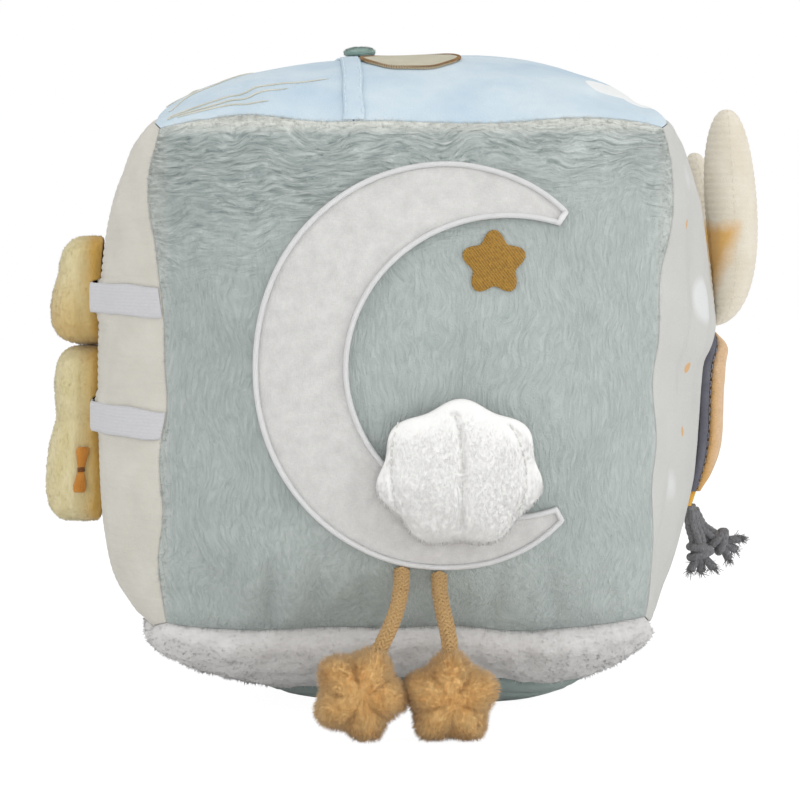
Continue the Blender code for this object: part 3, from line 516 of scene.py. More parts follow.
def vectors(operation, first, second):
    """A vector worked out from two others."""
    return first.node("VectorMath", {"operation": operation}, {0: first, 1: second})


def ramp(value, first, last, start=0.0, end=1.0):
    """Runs from start to end while a value runs from first to last, and stays there beyond them."""
    return value.node("MapRange", {}, {0: value, 1: first, 2: last, 3: start, 4: end})


def grain(where, size, detail=2.0, waver=0.0):
    """Noise from 0 to 1 whose grains have one size, or a size each along x, y and z."""
    scaled = vectors("DIVIDE", where, np.broadcast_to(size, 3).tolist())
    sockets = {"Vector": scaled, "Scale": 1.0, "Detail": detail, "Roughness": 0.6, "Distortion": waver}
    made = scaled.node("TexNoise", {}, sockets)
    return ramp(made, 0.25, 0.75)


def mixed(amount, low, high):
    """A colour between two, by amount."""
    sides = [shade(side) if isinstance(side, str) else side for side in (low, high)]
    return amount.node("Mix", {"data_type": "RGBA"}, {0: amount, 6: sides[0], 7: sides[1]}, 2)


def finish(material, colour, height, depth, strength=1.0):
    """Links a cloth's colour, and its height as a bump of that depth."""
    shader = material.node_tree.nodes["Principled BSDF"]
    links = material.node_tree.links
    if isinstance(colour, Thread):
        links.new(colour.socket, shader.inputs["Base Color"])
    else:
        shader.inputs["Base Color"].default_value = colour
    bump = height.node("Bump", {}, {"Strength": strength, "Distance": depth, "Height": height})
    links.new(bump.socket, shader.inputs["Normal"])
    return material


def nap(form, count, length, width, comb, seed, spread=0.7, toward=None, share=None, tilt=0.12):
    """Roots short closed tufts of pile on the outside of a form, each leaning towards comb and lit as
    the pile round it is."""
    points, faces, bake = np.asarray(form[0], float), form[1], form[2]
    triangles = []
    for face in faces:
        triangles += [face[:3]] if len(face) == 3 else [face[:3], (face[0], face[2], face[3])]
    corners = points[np.array(triangles)]
    cross = np.cross(corners[:, 1] - corners[:, 0], corners[:, 2] - corners[:, 0])
    area = np.linalg.norm(cross, axis=1) + 1e-15
    normals = cross / area[:, None]
    if (corners[:, 0] * cross).sum() - (points.mean(0) * cross.sum(0)).sum() < 0:
        normals = -normals
    outward = (normals * (corners.mean(1) - points.mean(0))).sum(1) > 0
    if toward is not None:
        outward &= (normals * np.asarray(toward)).sum(1) > -0.1
    chance = area * outward * (1.0 if share is None else share(corners.mean(1)))
    rng = np.random.RandomState(seed)
    chosen = rng.choice(len(area), count, p=chance / chance.sum())
    weight = rng.dirichlet((1, 1, 1), count)
    roots = (corners[chosen] * weight[..., None]).sum(1)
    normal = normals[chosen]
    lean = comb(roots) if callable(comb) else np.asarray(comb)
    way = normal + lean + rng.normal(0, spread / 2, (count, 3))
    way /= np.linalg.norm(way, axis=1)[:, None]
    side = np.cross(way, rng.normal(0, 1, (count, 3)))
    side /= np.linalg.norm(side, axis=1)[:, None]
    other = np.cross(way, side)
    base = roots - normal * width
    ends = (side, other * 0.87 - side / 2, -other * 0.87 - side / 2)
    tips = roots + way * (length * rng.uniform(0.6, 1.0, count))[:, None]
    tufts = np.stack((*(base + end * width for end in ends), tips), 1)
    start = len(points) + 4 * np.arange(count)[:, None, None]
    pattern = np.array(((0, 1, 3), (1, 2, 3), (2, 0, 3), (2, 1, 0)))
    across = math.ceil(math.sqrt(count * 10))
    cell = np.stack((np.arange(count) % across, np.arange(count) // across), 1)
    spots = cell[:, None] + np.array(((0.1, 0.1), (0.9, 0.1), (0.5, 0.25), (0.5, 0.9)))
    tuft_map = spots[:, pattern.ravel()].reshape(-1, 2) * (1 / across, 0.099 / math.ceil(count / across))
    facing = normal + rng.normal(0, tilt, (count, 3))
    facing /= np.linalg.norm(facing, axis=1)[:, None]
    return (
        np.concatenate((points, tufts.reshape(-1, 3))),
        [*faces, *(start + pattern).reshape(-1, 3).tolist()],
        np.concatenate((bake * (1, 0.89), tuft_map + (0, 0.9))),
        np.repeat(facing, 4, axis=0),
    )


COMBED_FROM, COMBED_SLANT = 0.046, 0.12
COMBED_RIDGE = 0.00095
EDGE_TUFTS_FROM = 0.0705
PLUSH_TUFTS = {"count": 3000, "length": 0.0016, "width": 0.00010, "spread": 0.8}


def make_front_panel():
    plush, where = cloth("sage_plush", sheen=0.2)
    swirl = where.node("TexNoise", {}, {"Vector": where, "Scale": 34.0, "Detail": 2.0}, "Color")
    swirl = vectors("SUBTRACT", swirl, (0.5, 0.5, 0.5))
    swirl = vectors("MULTIPLY", swirl, (0.022, 0.0, 0.022))
    bent = vectors("ADD", where, swirl)
    upright = grain(bent, (0.0010, 0.0010, 0.0052), 3.0, 0.8)
    level = grain(bent, (0.0056, 0.004, 0.0010), 3.0, 0.8)
    tips = grain(where, 0.0005)
    cloudy = grain(where, (0.026, 0.026, 0.018), 3.0)
    places = part_of(where, 0)
    rises = part_of(where, 2)
    boundary = rises - places * 0.12 + cloudy * 0.04
    level_share = ramp(boundary, 0.158, 0.186)
    calm = upright * 0.5 + 0.25
    streak = calm + (level - calm) * level_share
    # Painted highlight: the plush turns pale (F1F2EA) where it rolls over the top seam and near its left
    # and right seams, for light caught on the rolled edges.
    painted_roll_highlight = ramp(rises + streak * 0.0008, 0.1742, 0.1774, 0.0, 0.75)
    beside = places.maths("ABSOLUTE", places)
    beside = ramp(beside, 0.0700, 0.0765, 0.0, 0.42)
    pale = painted_roll_highlight.maths("MAXIMUM", painted_roll_highlight, beside)
    tone = streak * (level_share * 0.30 + 0.78) + cloudy * 0.16 + tips * 0.06
    # Painted shade: the tone runs darker towards the panel's left side, and the level-combed top zone is
    # darker partly for its nap and partly as painted shade against the overhead lamp.
    tone = tone + places * 0.8 - level_share * 0.20
    colour = mixed(pale, mixed(tone, "838F8D", "D0D7D4"), "F1F2EA")
    finish(plush, colour, streak * 0.9 + tips * 0.2, 0.0010, 0.8)
    across_line = eased(111)
    line = np.unique(np.concatenate((eased(111), np.linspace(0.36, 0.985, 170))))
    s, t = np.meshgrid(across_line, line)
    combed = np.clip(((t - COMBED_SLANT * s) * REACH - COMBED_FROM) / 0.010, 0, 1)
    combed = combed * np.clip((1 - t) * 40, 0, 1)
    ridges = np.zeros_like(s)
    for index in np.ndindex(*s.shape):
        if combed[index] > 0:
            x, z = s[index] * REACH, t[index] * REACH
            sway = 0.0016 * noise.noise((x * 55, z * 55, 5.0))
            ridges[index] = noise.noise((x * 150, (z + sway) * 760, 2.0))
    form = panel("front", across_line, line, COMBED_RIDGE * combed * ridges)

    def edges(places):
        across, rise = np.abs(places[:, 0]), places[:, 2] - BLOCK_MIDDLE[2]
        return np.clip((np.maximum(across, np.abs(rise)) - EDGE_TUFTS_FROM) / 0.007, 0, 1)

    def outward(places):
        return (places - BLOCK_MIDDLE) * (16.0, 0.0, 20.0)

    form = nap(form, **PLUSH_TUFTS, comb=outward, seed=4, toward=(0, -1, 0), share=edges)
    lit = form[3] * (0.4, 0.0, 0.4) + (0, -0.85, 0.2)
    form = (*form[:3], lit / np.linalg.norm(lit, axis=1)[:, None])
    sew("front_plush", form, plush, "block", ["front_panel"])


for seed, face_name in enumerate(FACES):
    settle(face_name, seed + 5)
make_front_panel()

# Back panel: plain cotton in a pale grey green, sewn in at its four seams like the others. It has no
# trim, only its weave and its gathers.


def weave(where, first, second, pitch):
    """Height of a plain weave of threads that run along two axes, pitch apart."""
    crossing = []
    for axis in (first, second):
        place = part_of(where, axis)
        crossing.append(place.maths("SINE", place * (2 * math.pi / pitch)))
    return crossing[0] * crossing[1] * 0.5 + 0.5


def make_back_panel():
    cotton, where = cloth("plain_cotton", 0.9, 0.1)
    slub = grain(where, (0.004, 0.004, 0.0005)) * 0.5 + grain(where, (0.0005, 0.004, 0.004)) * 0.5
    tone = slub * 0.5 + grain(where, 0.03) * 0.5
    finish(cotton, mixed(tone, "C6CFCC", "D4DBD9"), weave(where, 0, 2, 0.0008) * 0.5 + slub, 0.0002)
    line = eased(101)
    sew("back_cotton", panel("back", line, line), cotton, "block", ["back_panel"])


make_back_panel()

# Left panel: ivory corduroy, sewn in at its four seams with its wales level, so that they show at the
# outline. It swells a little under the two elastic bands.
FOLDS["left"] = (
    (0.0690, 0.0020, 0.0036, 0.0090, 0, -0.0007),
    (0.0640, -0.0500, 0.0050, 0.0120, -10, -0.0008),
    (0.0660, 0.0500, 0.0050, 0.0120, 10, -0.0006),
)
BAND_RISES = {"upper": 0.0217, "lower": -0.0143}
UNDER_BANDS = 0.0010
WALE_PITCH = 0.0024
WALE_DEPTH = 0.00062
WALE_ROWS = 6


def wales(distance, pitch, depth):
    """How far corduroy lies below its wales' tops at a distance across them."""
    across = 2 * np.mod(distance / pitch, 1.0) - 1
    return -depth * (1 - np.sqrt(1 - 0.97 * across**2))


def make_left_panel():
    corduroy, where = cloth("ivory_corduroy", sheen=0.2)
    pile = grain(where, (0.0004, 0.0006, 0.0004))
    tone = grain(where, (0.02, 0.02, 0.012), 3.0) * 0.7 + pile * 0.3
    finish(corduroy, mixed(tone, "CAC6BC", "DCD9CF"), pile, 0.0003, 0.5)
    t_line = np.linspace(-1, 1, round(2 * REACH / WALE_PITCH * WALE_ROWS) + 1)
    s_line = eased(61)
    s, t = np.meshgrid(s_line, t_line)
    relief = wales(t * REACH, WALE_PITCH, WALE_DEPTH) * (0.16 + 0.84 * np.exp(-((s / 0.26) ** 2)))
    for rise in BAND_RISES.values():
        under = np.exp(-((np.abs(t * REACH - rise) / 0.0062) ** 6)) * np.exp(-((s * REACH / 0.047) ** 6))
        relief = relief + UNDER_BANDS * under
    form = panel("left", s_line, t_line, relief)
    sew("left_corduroy", form, corduroy, "block", ["left_panel"])


make_left_panel()

# Right panel: pale cotton with a sparse all-over print of small mustard dashes and paler pebbles, sewn
# in at its four seams. The pendant draws its lower half in.
FOLDS["right"] = (
    (-0.0700, 0.0220, 0.0030, 0.0230, 3, 0.0012),
    (-0.0630, 0.0160, 0.0032, 0.0260, -4, -0.0011),
    (-0.0560, 0.0080, 0.0034, 0.0240, 3, 0.0007),
    (-0.0690, -0.0440, 0.0034, 0.0150, -5, -0.0010),
    (-0.0600, -0.0520, 0.0034, 0.0120, 4, 0.0006),
)
DASH_SIZE, PEBBLE_SIZE = (0.3, 0.013, 0.021), (0.3, 0.030, 0.044)
PRINT_TOP = 0.170


def make_right_panel():
    cotton, where = cloth("printed_cotton", 0.9, 0.1)

    def scatter(size, reach, shift):
        placed = vectors("DIVIDE", where, size)
        moved = vectors("ADD", placed, shift)
        near = where.node("TexVoronoi", {}, {"Vector": moved, "Scale": 1.0, "Randomness": 0.7}, "Distance")
        return ramp(near, reach * 0.75, reach, 1.0, 0.0)

    dashes = scatter(DASH_SIZE, 0.085, (0.0, 0.45, 0.22))
    pebbles = scatter(PEBBLE_SIZE, 0.20, (0.0, 0.2, 0.75))
    thread = grain(where, 0.0006)
    ground = mixed(grain(where, 0.03) * 0.6 + thread * 0.4, "C4C4C0", "CFCFCC")
    rises = part_of(where, 2)
    dashes = dashes * ramp(rises, PRINT_TOP, PRINT_TOP + 0.001, 1.0, 0.0)
    colour = mixed(dashes, mixed(pebbles, ground, "DCDEDD"), "D6AE80")
    finish(cotton, colour, weave(where, 1, 2, 0.0008) * 0.5 + thread, 0.00012)
    line = eased(121)
    sew("right_cotton", panel("right", line, line), cotton, "block", ["right_panel"])


make_right_panel()

# Top panels: two pieces of light blue cotton that meet under a stitched band. The right one has one
# plain white cloud printed near its right end.
FOLDS["top"] = (
    (-0.0500, -0.0680, 0.0030, 0.0070, 12, -0.0006),
    (0.0300, -0.0690, 0.0030, 0.0070, -8, -0.0006),
    (0.0550, -0.0660, 0.0034, 0.0080, -18, -0.0007),
)
TOP_JOIN = -0.017
CLOUD_PUFFS = ((0.066, -0.046, 0.006), (0.060, -0.052, 0.007), (0.069, -0.056, 0.006))


def make_blue_cotton():
    cotton, where = cloth("blue_cotton", 0.9, 0.1)
    cloud = None
    flat = vectors("MULTIPLY", where, (1, 1, 0))
    for x, y, radius in CLOUD_PUFFS:
        gap = flat.node("VectorMath", {"operation": "DISTANCE"}, {0: flat, 1: (x, y, 0)}, "Value")
        puff = ramp(gap, radius, radius * 1.08, 1.0, 0.0)
        cloud = puff if cloud is None else puff.maths("MAXIMUM", puff, cloud)
    thread = grain(where, 0.0006)
    tone = grain(where, (0.026, 0.018, 0.02), 3.0) * 0.88 + thread * 0.12
    colour = mixed(cloud, mixed(tone, "BAD0E0", "DAE6EC"), "F1F3F3")
    return finish(cotton, colour, weave(where, 0, 1, 0.0007) * 0.5 + thread, 0.00012)


blue_cotton = make_blue_cotton()


def make_top_panels():
    line = eased(121)
    join = TOP_JOIN / REACH
    gap = SEAM_GAP / REACH
    left_line = np.concatenate((line[line < join - gap - 0.004], [join - gap]))
    right_line = np.concatenate(([join + gap], line[line > join + gap + 0.004]))
    left, right = panel("top", left_line, line), panel("top", right_line, line)
    sew("top_cotton_left", left, blue_cotton, "block", ["top_panel_left"])
    sew("top_cotton_right", right, blue_cotton, "block", ["top_panel_right"])


make_top_panels()

# Bottom panel: cream sherpa, a deep curly pile in loose lumps that wraps up to the bottom seams. The
# round pad that is sewn over its middle presses it flat.
CURL_SIZE = 0.0054
CURL_HEIGHT = 0.0009
SHERPA_PILE = 0.0034
SHERPA_TUFTS = {"count": 9000, "length": 0.0012, "width": 0.00024, "spread": 0.9, "tilt": 0.04}
PAD_X = 0.0095
PAD_RADIUS = 0.0575


def make_bottom_panel():
    sherpa, where = cloth("cream_sherpa", 1.0, 0.3)
    curl = grain(where, 0.0012, 3.0)
    tone = curl * 0.5 + grain(where, 0.006) * 0.5
    finish(sherpa, mixed(tone, "CCCAC8", "E1E0DF"), curl, 0.0004, 0.4)
    line = eased(161)
    s, t = np.meshgrid(line, line)
    places = set_out("bottom", *face_spots("bottom", s, t)).reshape(-1, 3) / CURL_SIZE
    lumps = np.array([noise.noise(place) + 0.28 * noise.noise(place * 2) for place in places])
    inward = 1 - np.maximum(np.abs(s), np.abs(t))
    rim = 1 - np.exp(-inward / 0.012)
    under_pad = np.clip((PAD_RADIUS + 0.0065 - np.hypot(s * REACH - PAD_X, t * REACH)) / 0.006, 0, 1)
    relief = (SHERPA_PILE + lumps.reshape(s.shape) * CURL_HEIGHT) * rim * (1 - under_pad * 0.85)
    form = panel("bottom", line, line, relief)
    form = nap(form, **SHERPA_TUFTS, comb=(0, 0, 0.1), seed=3, toward=(0, 0, -0.1))
    sew("bottom_sherpa", form, sherpa, "block", ["bottom_panel"])


make_bottom_panel()

# Filling and rattle: two halves of loose white fibre, and between them a two-part plastic case with
# a steel ball. None of it shows, and the case and the ball keep their solids.
FILLING_SHRINK = 0.0012
FILLING_MESH = 0.012


def one_colour(name, code, roughness, sheen=0.0, shine=0.15, size=0.0003, depth=0.0001):
    """A plastic or a thread of one colour, whose surface is a little uneven."""
    material, where = cloth(name, roughness, sheen, shine)
    return finish(material, shade(code), grain(where, size), depth)


def make_inside():
    fibre, where = cloth("fibre_filling", 1.0)
    wisps = grain(where, 0.003, 4.0)
    finish(fibre, mixed(wisps, "E6E6E2", "F6F6F4"), wisps, 0.002)
    for name, node in (("front_filling", "filling_front"), ("back_filling", "filling_back")):
        bm = bmesh.new()
        bm.from_mesh(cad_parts[node].data)
        bmesh.ops.remove_doubles(bm, verts=bm.verts, dist=0.00001)
        long_edges = [edge for edge in bm.edges if edge.calc_length() > FILLING_MESH]
        bmesh.ops.subdivide_edges(bm, edges=long_edges, cuts=2, use_grid_fill=True)
        bm.normal_update()
        for vert in bm.verts:
            offset = vert.co - Vector(BLOCK_MIDDLE)
            if offset.length > 0.03:
                depth = vert.co.y
                for centre, radius, shift in PULLS:
                    near = (offset - Vector(centre)).length / radius
                    vert.co += Vector(shift) * math.exp(-near * near)
                vert.co -= vert.normal * FILLING_SHRINK * (2 + noise.noise(vert.co * 90))
                if abs(depth) < 0.002:
                    vert.co.y = depth
        points = [vert.co[:] for vert in bm.verts]
        faces = [[vert.index for vert in face.verts] for face in bm.faces]
        bm.free()
        sew(name, (points, faces), fibre, "block", [node])
    plastic = one_colour("white_plastic", "E6E6E4", 0.45, shine=0.5, size=0.0008, depth=0.00005)
    brushed = (0.0015, 0.0015, 0.0002)
    steel = one_colour("steel_ball", "B9BBBE", 0.3, shine=0.5, size=brushed, depth=0.00003)
    steel.node_tree.nodes["Principled BSDF"].inputs["Metallic"].default_value = 1.0
    for node, material in (
        ("rattle_case_upper", plastic),
        ("rattle_case_lower", plastic),
        ("rattle_ball", steel),
    ):
        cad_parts[node].material_slots[0].material = material


make_inside()

# Bottom pad: a sage velour disc sewn under the block, padded, with a sewn groove inside its rim. The
# block rests on its flat.
PAD_THICKNESS = 0.006
PAD_GROOVE, PAD_GROOVE_DEPTH = 0.90, 0.0016
PAD_PUCKERS, PUCKER_HEIGHT = 52, 0.00025


def full_turn(count):
    """Angles of one full turn, evenly spaced."""
    return np.linspace(0, 2 * math.pi, count, endpoint=False)


def turned(rings, first, last):
    """A closed form: round rings of points between a first and a last point, with its map for baking."""
    count, sectors = rings.shape[:2]
    index = np.arange(count * sectors).reshape(count, sectors)
    beside = np.roll(index, -1, axis=1)
    sides = np.stack((index[:-1], index[1:], beside[1:], beside[:-1]), -1).reshape(-1, 4)
    head, foot = count * sectors, count * sectors + 1
    start = [[head, a, b] for a, b in zip(index[0], beside[0])]
    end = [[foot, b, a] for a, b in zip(index[-1], beside[-1])]
    points = np.concatenate((rings.reshape(-1, 3), [first], [last]))
    u, v = np.meshgrid(np.arange(sectors) / sectors, (np.arange(count) + 1) / (count + 1))
    step_u, step_v = 1 / sectors, 1 / (count + 1)
    u0, v0 = u[:-1], v[:-1]
    side_map = np.stack((u0, v0, u0, v0 + step_v, u0 + step_u, v0 + step_v, u0 + step_u, v0), -1)
    edge = np.arange(sectors) / sectors
    low, high = np.full(sectors, step_v), np.full(sectors, 1 - step_v)
    start_map = np.stack((edge + step_u / 2, 0 * edge, edge, low, edge + step_u, low), 1)
    end_map = np.stack((edge + step_u / 2, 0 * edge + 1, edge + step_u, high, edge, high), 1)
    bake = [one.reshape(-1, 2) for one in (side_map, start_map, end_map)]
    return points, [*sides.tolist(), *start, *end], np.concatenate(bake)


def capped(*rings):
    """A closed form of one or more sets of rings, whose two ends close on their middles."""
    rings = np.concatenate(rings)
    return turned(rings, rings[0].mean(0), rings[-1].mean(0))


def make_bottom_pad():
    velour, where = cloth("sage_velour", sheen=0.3)
    pile = grain(where, 0.0004)
    tone = grain(where, 0.01, 3.0) * 0.7 + pile * 0.3
    finish(velour, mixed(tone, "8FA19D", "ABBAB6"), pile, 0.0003, 0.7)
    angle = full_turn(120)[None, :]
    share = np.concatenate((np.linspace(0.06, 0.8, 14), np.linspace(0.83, 0.97, 12), [0.985, 0.995, 1.0]))
    share = share[:, None]
    full = 0.35 + 0.65 * np.sqrt(1 - share**6)
    groove = PAD_GROOVE_DEPTH * np.exp(-(((share - PAD_GROOVE) / 0.014) ** 2))

    def ring(some_share, lift):
        across = PAD_X + PAD_RADIUS * some_share * np.cos(angle)
        points = on_cloth("bottom", across, PAD_RADIUS * some_share * np.sin(angle), lift)
        points[..., 2] = np.maximum(points[..., 2], 0)
        return points

    near_groove = np.exp(-(((share - PAD_GROOVE) / 0.05) ** 2))
    puckers = PUCKER_HEIGHT * np.sin(angle * PAD_PUCKERS) * near_groove
    outer = ring(share, SEAM_GAP + PAD_THICKNESS * full - groove + puckers)
    inner = ring(share[::-1], np.full((len(share), 1), SEAM_GAP))
    sew("bottom_velour_pad", capped(outer, inner), velour, "block", ["bottom_pad"])


make_bottom_pad()

# Top trim: a narrow band of the blue cotton covers the join, held by two rows of stitches, with ivory
# wave lines embroidered near the front left corner.
BAND_HALF = 0.003
BAND_THICKNESS = 0.0008
BAND_PUCKER, BAND_PUCKER_PITCH = 0.00018, 0.0042
BAND_DIP = 0.0003
STITCH_LENGTH = 0.0022
STITCH_GAP = 0.0008
STITCH_RADIUS = 0.00018


def looped(rings):
    """The points and faces of rings that follow each other round to the first again."""
    index = np.arange(rings.shape[0] * rings.shape[1]).reshape(rings.shape[:2])
    over = np.roll(index, -1, axis=0)
    quads = np.stack((index, np.roll(index, -1, axis=1), np.roll(over, -1, axis=1), over), -1)
    return rings.reshape(-1, 3), quads.reshape(-1, 4).tolist()


def tube(route, radius, sides, up=None, flat=1.0, closed=False):
    """A round or flattened thread along a route. Its flat side faces up, where up is given."""
    route = np.asarray(route, float)
    count = len(route)
    radius = np.broadcast_to(radius, (count,))
    if closed:
        tangent = np.roll(route, -1, 0) - np.roll(route, 1, 0)
    else:
        tangent = np.gradient(route, axis=0)
    tangent /= np.linalg.norm(tangent, axis=1)[:, None]
    if up is None:
        normal = np.zeros_like(route)
        start = np.array((0.0, 0.0, 1.0)) if abs(tangent[0, 2]) < 0.9 else np.array((1.0, 0.0, 0.0))
        for index in range(count):
            start = start - tangent[index] * start.dot(tangent[index])
            start /= np.linalg.norm(start)
            normal[index] = start
    else:
        normal = np.broadcast_to(up, route.shape)
        normal = normal - tangent * (normal * tangent).sum(1)[:, None]
        normal /= np.linalg.norm(normal, axis=1)[:, None]
    side = np.cross(tangent, normal)
    angle = full_turn(sides)
    around = side[:, None] * np.cos(angle)[:, None] + normal[:, None] * np.sin(angle)[:, None] * flat
    rings = route[:, None] + around * radius[:, None, None]
    if closed:
        return looped(rings)
    return turned(rings, route[0] - tangent[0] * radius[0] / 2, route[-1] + tangent[-1] * radius[-1] / 2)


def spaced(route, step):
    """The points of a route, the same distance apart along it."""
    route = np.asarray(route, float)
    run = np.concatenate(([0], np.cumsum(np.linalg.norm(np.diff(route, axis=0), axis=1))))
    places = np.linspace(0, run[-1], max(2, round(run[-1] / step) + 1))
    return np.stack([np.interp(places, run, route[:, axis]) for axis in range(3)], 1)


def joined(parts):
    """Several point and face lists as one."""
    points, faces, count = [], [], 0
    for part in parts:
        points.append(part[0])
        faces += [[corner + count for corner in face] for face in part[1]]
        count += len(part[0])
    return np.concatenate(points), faces


def stitches(route, up, length=STITCH_LENGTH, gap=STITCH_GAP, radius=STITCH_RADIUS):
    """A row of stitches along a route, each a short thread with both ends in the cloth."""
    dense = spaced(route, (length + gap) / 6)
    up = np.asarray(up, float)
    parts = []
    for start in range(0, len(dense) - 5, 6):
        thread = spaced(dense[start : start + 5], length / 5)[:6]
        dip = np.linspace(-1, 1, len(thread)) ** 4
        parts.append(tube(thread - up * (dip[:, None] * radius * 2 - radius * 0.5), radius, 6))
    return joined(parts)


def laid_on(face, across, along, top, base=SEAM_GAP):
    """A closed piece that lies on a face, from one lift off its cloth to another."""
    return shell(on_cloth(face, across, along, top), on_cloth(face, across, along, base))


def make_top_band():
    thread = one_colour("blue_thread", "D9E6EE", 0.6, 0.2)
    reach = REACH - DRAW * (1 - (TOP_JOIN / REACH) ** 2) - 0.0001
    along = reach * eased(181)[:, None]
    ends = np.clip((1 - np.abs(along) / reach) / 0.03, 0, 1) ** 0.5
    share = np.linspace(-1, 1, 13)[None, :]
    pucker = BAND_PUCKER * np.sin(along * 2 * math.pi / BAND_PUCKER_PITCH)
    pucker = pucker * np.exp(-(((np.abs(share) - 0.8) / 0.2) ** 2))
    dip = BAND_DIP * np.exp(-(((np.abs(share) - 0.78) / 0.10) ** 2))
    lift = SEAM_GAP + (BAND_THICKNESS * (1 - 0.5 * share**8) + pucker - dip) * ends
    form = laid_on("top", TOP_JOIN + share * BAND_HALF, along, lift)
    sew("top_band", form, blue_cotton, "block", ["top_seam_band"])
    rows = []
    for side in (-1, 1):
        across = TOP_JOIN + side * BAND_HALF * 0.78
        run = on_cloth("top", across, reach * 0.98 * eased(121), SEAM_GAP + BAND_THICKNESS - 0.0002)
        rows.append(stitches(run, (0, 0, 1)))
    sew("top_band_stitches", joined(rows), thread, "block")


make_top_band()

WAVE_RADIUS = 0.00040
WAVE_ROUTES = (
    ((-0.071, -0.0715), (-0.062, -0.067), (-0.050, -0.0635), (-0.037, -0.0600), (-0.024, -0.0575)),
    ((-0.071, -0.0718), (-0.060, -0.0690), (-0.050, -0.0668), (-0.043, -0.0650), (-0.036, -0.0630)),
    ((-0.068, -0.0722), (-0.060, -0.0712), (-0.054, -0.0705), (-0.048, -0.0702), (-0.042, -0.0700)),
    ((-0.071, -0.060), (-0.060, -0.050), (-0.050, -0.038), (-0.045, -0.022), (-0.047, -0.006)),
    ((-0.072, -0.050), (-0.062, -0.036), (-0.057, -0.018), (-0.059, 0.000), (-0.055, 0.018)),
)


def smooth_run(corners, count):
    """Distances across and up along a soft curve through the corners."""
    corners = np.array(corners, float)
    share = np.linspace(0, 1, len(corners))
    fit = [np.polyfit(share, corners[:, axis], len(corners) - 1) for axis in (0, 1)]
    fine = np.linspace(0, 1, count)
    return np.polyval(fit[0], fine), np.polyval(fit[1], fine)


def make_wave_lines():
    thread, where = cloth("ivory_thread", 0.6, 0.2)
    along = grain(where, 0.012)
    ply = grain(where, (0.0003, 0.0006, 0.0003))
    finish(thread, mixed(along, "C9CABC", "EBE8DB"), ply, 0.0002)
    rolls = []
    for corners in WAVE_ROUTES:
        across, up = smooth_run(corners, 90)
        taper = WAVE_RADIUS * np.sqrt(np.clip(1 - np.linspace(-0.93, 1, 90) ** 4, 0.03, 1))
        rolls.append(tube(on_cloth("top", across, up, 0.0001), taper, 8, (0, 0, 1), 0.7))
    sew("top_wave_lines", joined(rolls), thread, "block")


make_wave_lines()

# Felt patch: a round of khaki felt on the top, with brown overlocking over its edge, and a small
# stuffed tab of green velour standing behind it on the band.
PATCH_X, PATCH_Y, PATCH_RADIUS = 0.0012, -0.0365, 0.0152
PATCH_THICKNESS = 0.0007
PATCH_LOOPS, LOOP_RADIUS, CHAIN_RADIUS = 118, 0.00019, 0.00022
TAB_X, TAB_Y = -0.0135, -0.021
TAB_HALVES = (0.0048, 0.0040)
TAB_HEIGHT = 0.0054
TAB_TUFTS = {"count": 900, "length": 0.0006, "width": 0.00012}


def felt(name, dark, light):
    """Pressed felt: short fibres in every direction, and faint cloudy patches."""
    material, where = cloth(name, sheen=0.15)
    fibres = grain(where, (0.0002, 0.0013, 0.0002), 3.0) * 0.34
    fibres = fibres + grain(where, (0.0013, 0.0002, 0.0004), 3.0) * 0.33
    fibres = fibres + grain(where, (0.0003, 0.0004, 0.0013), 3.0) * 0.33
    tone = fibres * 0.6 + grain(where, 0.004, 3.0) * 0.4
    return finish(material, mixed(tone, dark, light), fibres, 0.0004, 0.6)


def make_patch():
    angle = full_turn(96)[None, :]
    share = np.concatenate((np.linspace(0.08, 0.92, 12), [0.97, 1.0]))[:, None]

    def ring(some_share, lift):
        across = PATCH_X + PATCH_RADIUS * some_share * np.cos(angle)
        return on_cloth("top", across, PATCH_Y + PATCH_RADIUS * some_share * np.sin(angle), lift)

    top = ring(share, SEAM_GAP + PATCH_THICKNESS * (1 - 0.35 * share**10))
    khaki = felt("khaki_felt", "BDB89F", "D2CDB8")
    sew("round_patch", capped(top, ring(share[::-1], SEAM_GAP)), khaki, "block", ["top_patch"])
    thread, where = cloth("brown_thread", 0.7, 0.2)
    finish(thread, mixed(grain(where, 0.0008), "85623C", "B48E60"), grain(where, 0.0002), 0.0002)
    loops = []
    for turn in full_turn(PATCH_LOOPS):
        spot = np.linspace(0, 1, 8)
        reach = PATCH_RADIUS - 0.0009 + 0.0009 * np.sin(spot * math.pi / 2)
        lift = SEAM_GAP + PATCH_THICKNESS * (0.95 - 0.9 * spot**5) + 0.0001
        lean = turn + 0.03 * spot
        across = PATCH_X + reach * np.cos(lean)
        loops.append(tube(on_cloth("top", across, PATCH_Y + reach * np.sin(lean), lift), LOOP_RADIUS, 6))
    chain = full_turn(2 * PATCH_LOOPS)
    weaving = PATCH_RADIUS - 0.0003 + 0.0002 * np.sin(chain * PATCH_LOOPS)
    route = on_cloth("top", PATCH_X + weaving * np.cos(chain), PATCH_Y + weaving * np.sin(chain), 0.0005)
    loops.append(tube(route, CHAIN_RADIUS, 6, closed=True))
    sew("patch_overlocking", joined(loops), thread, "block", ["top_patch_edge"])


make_patch()


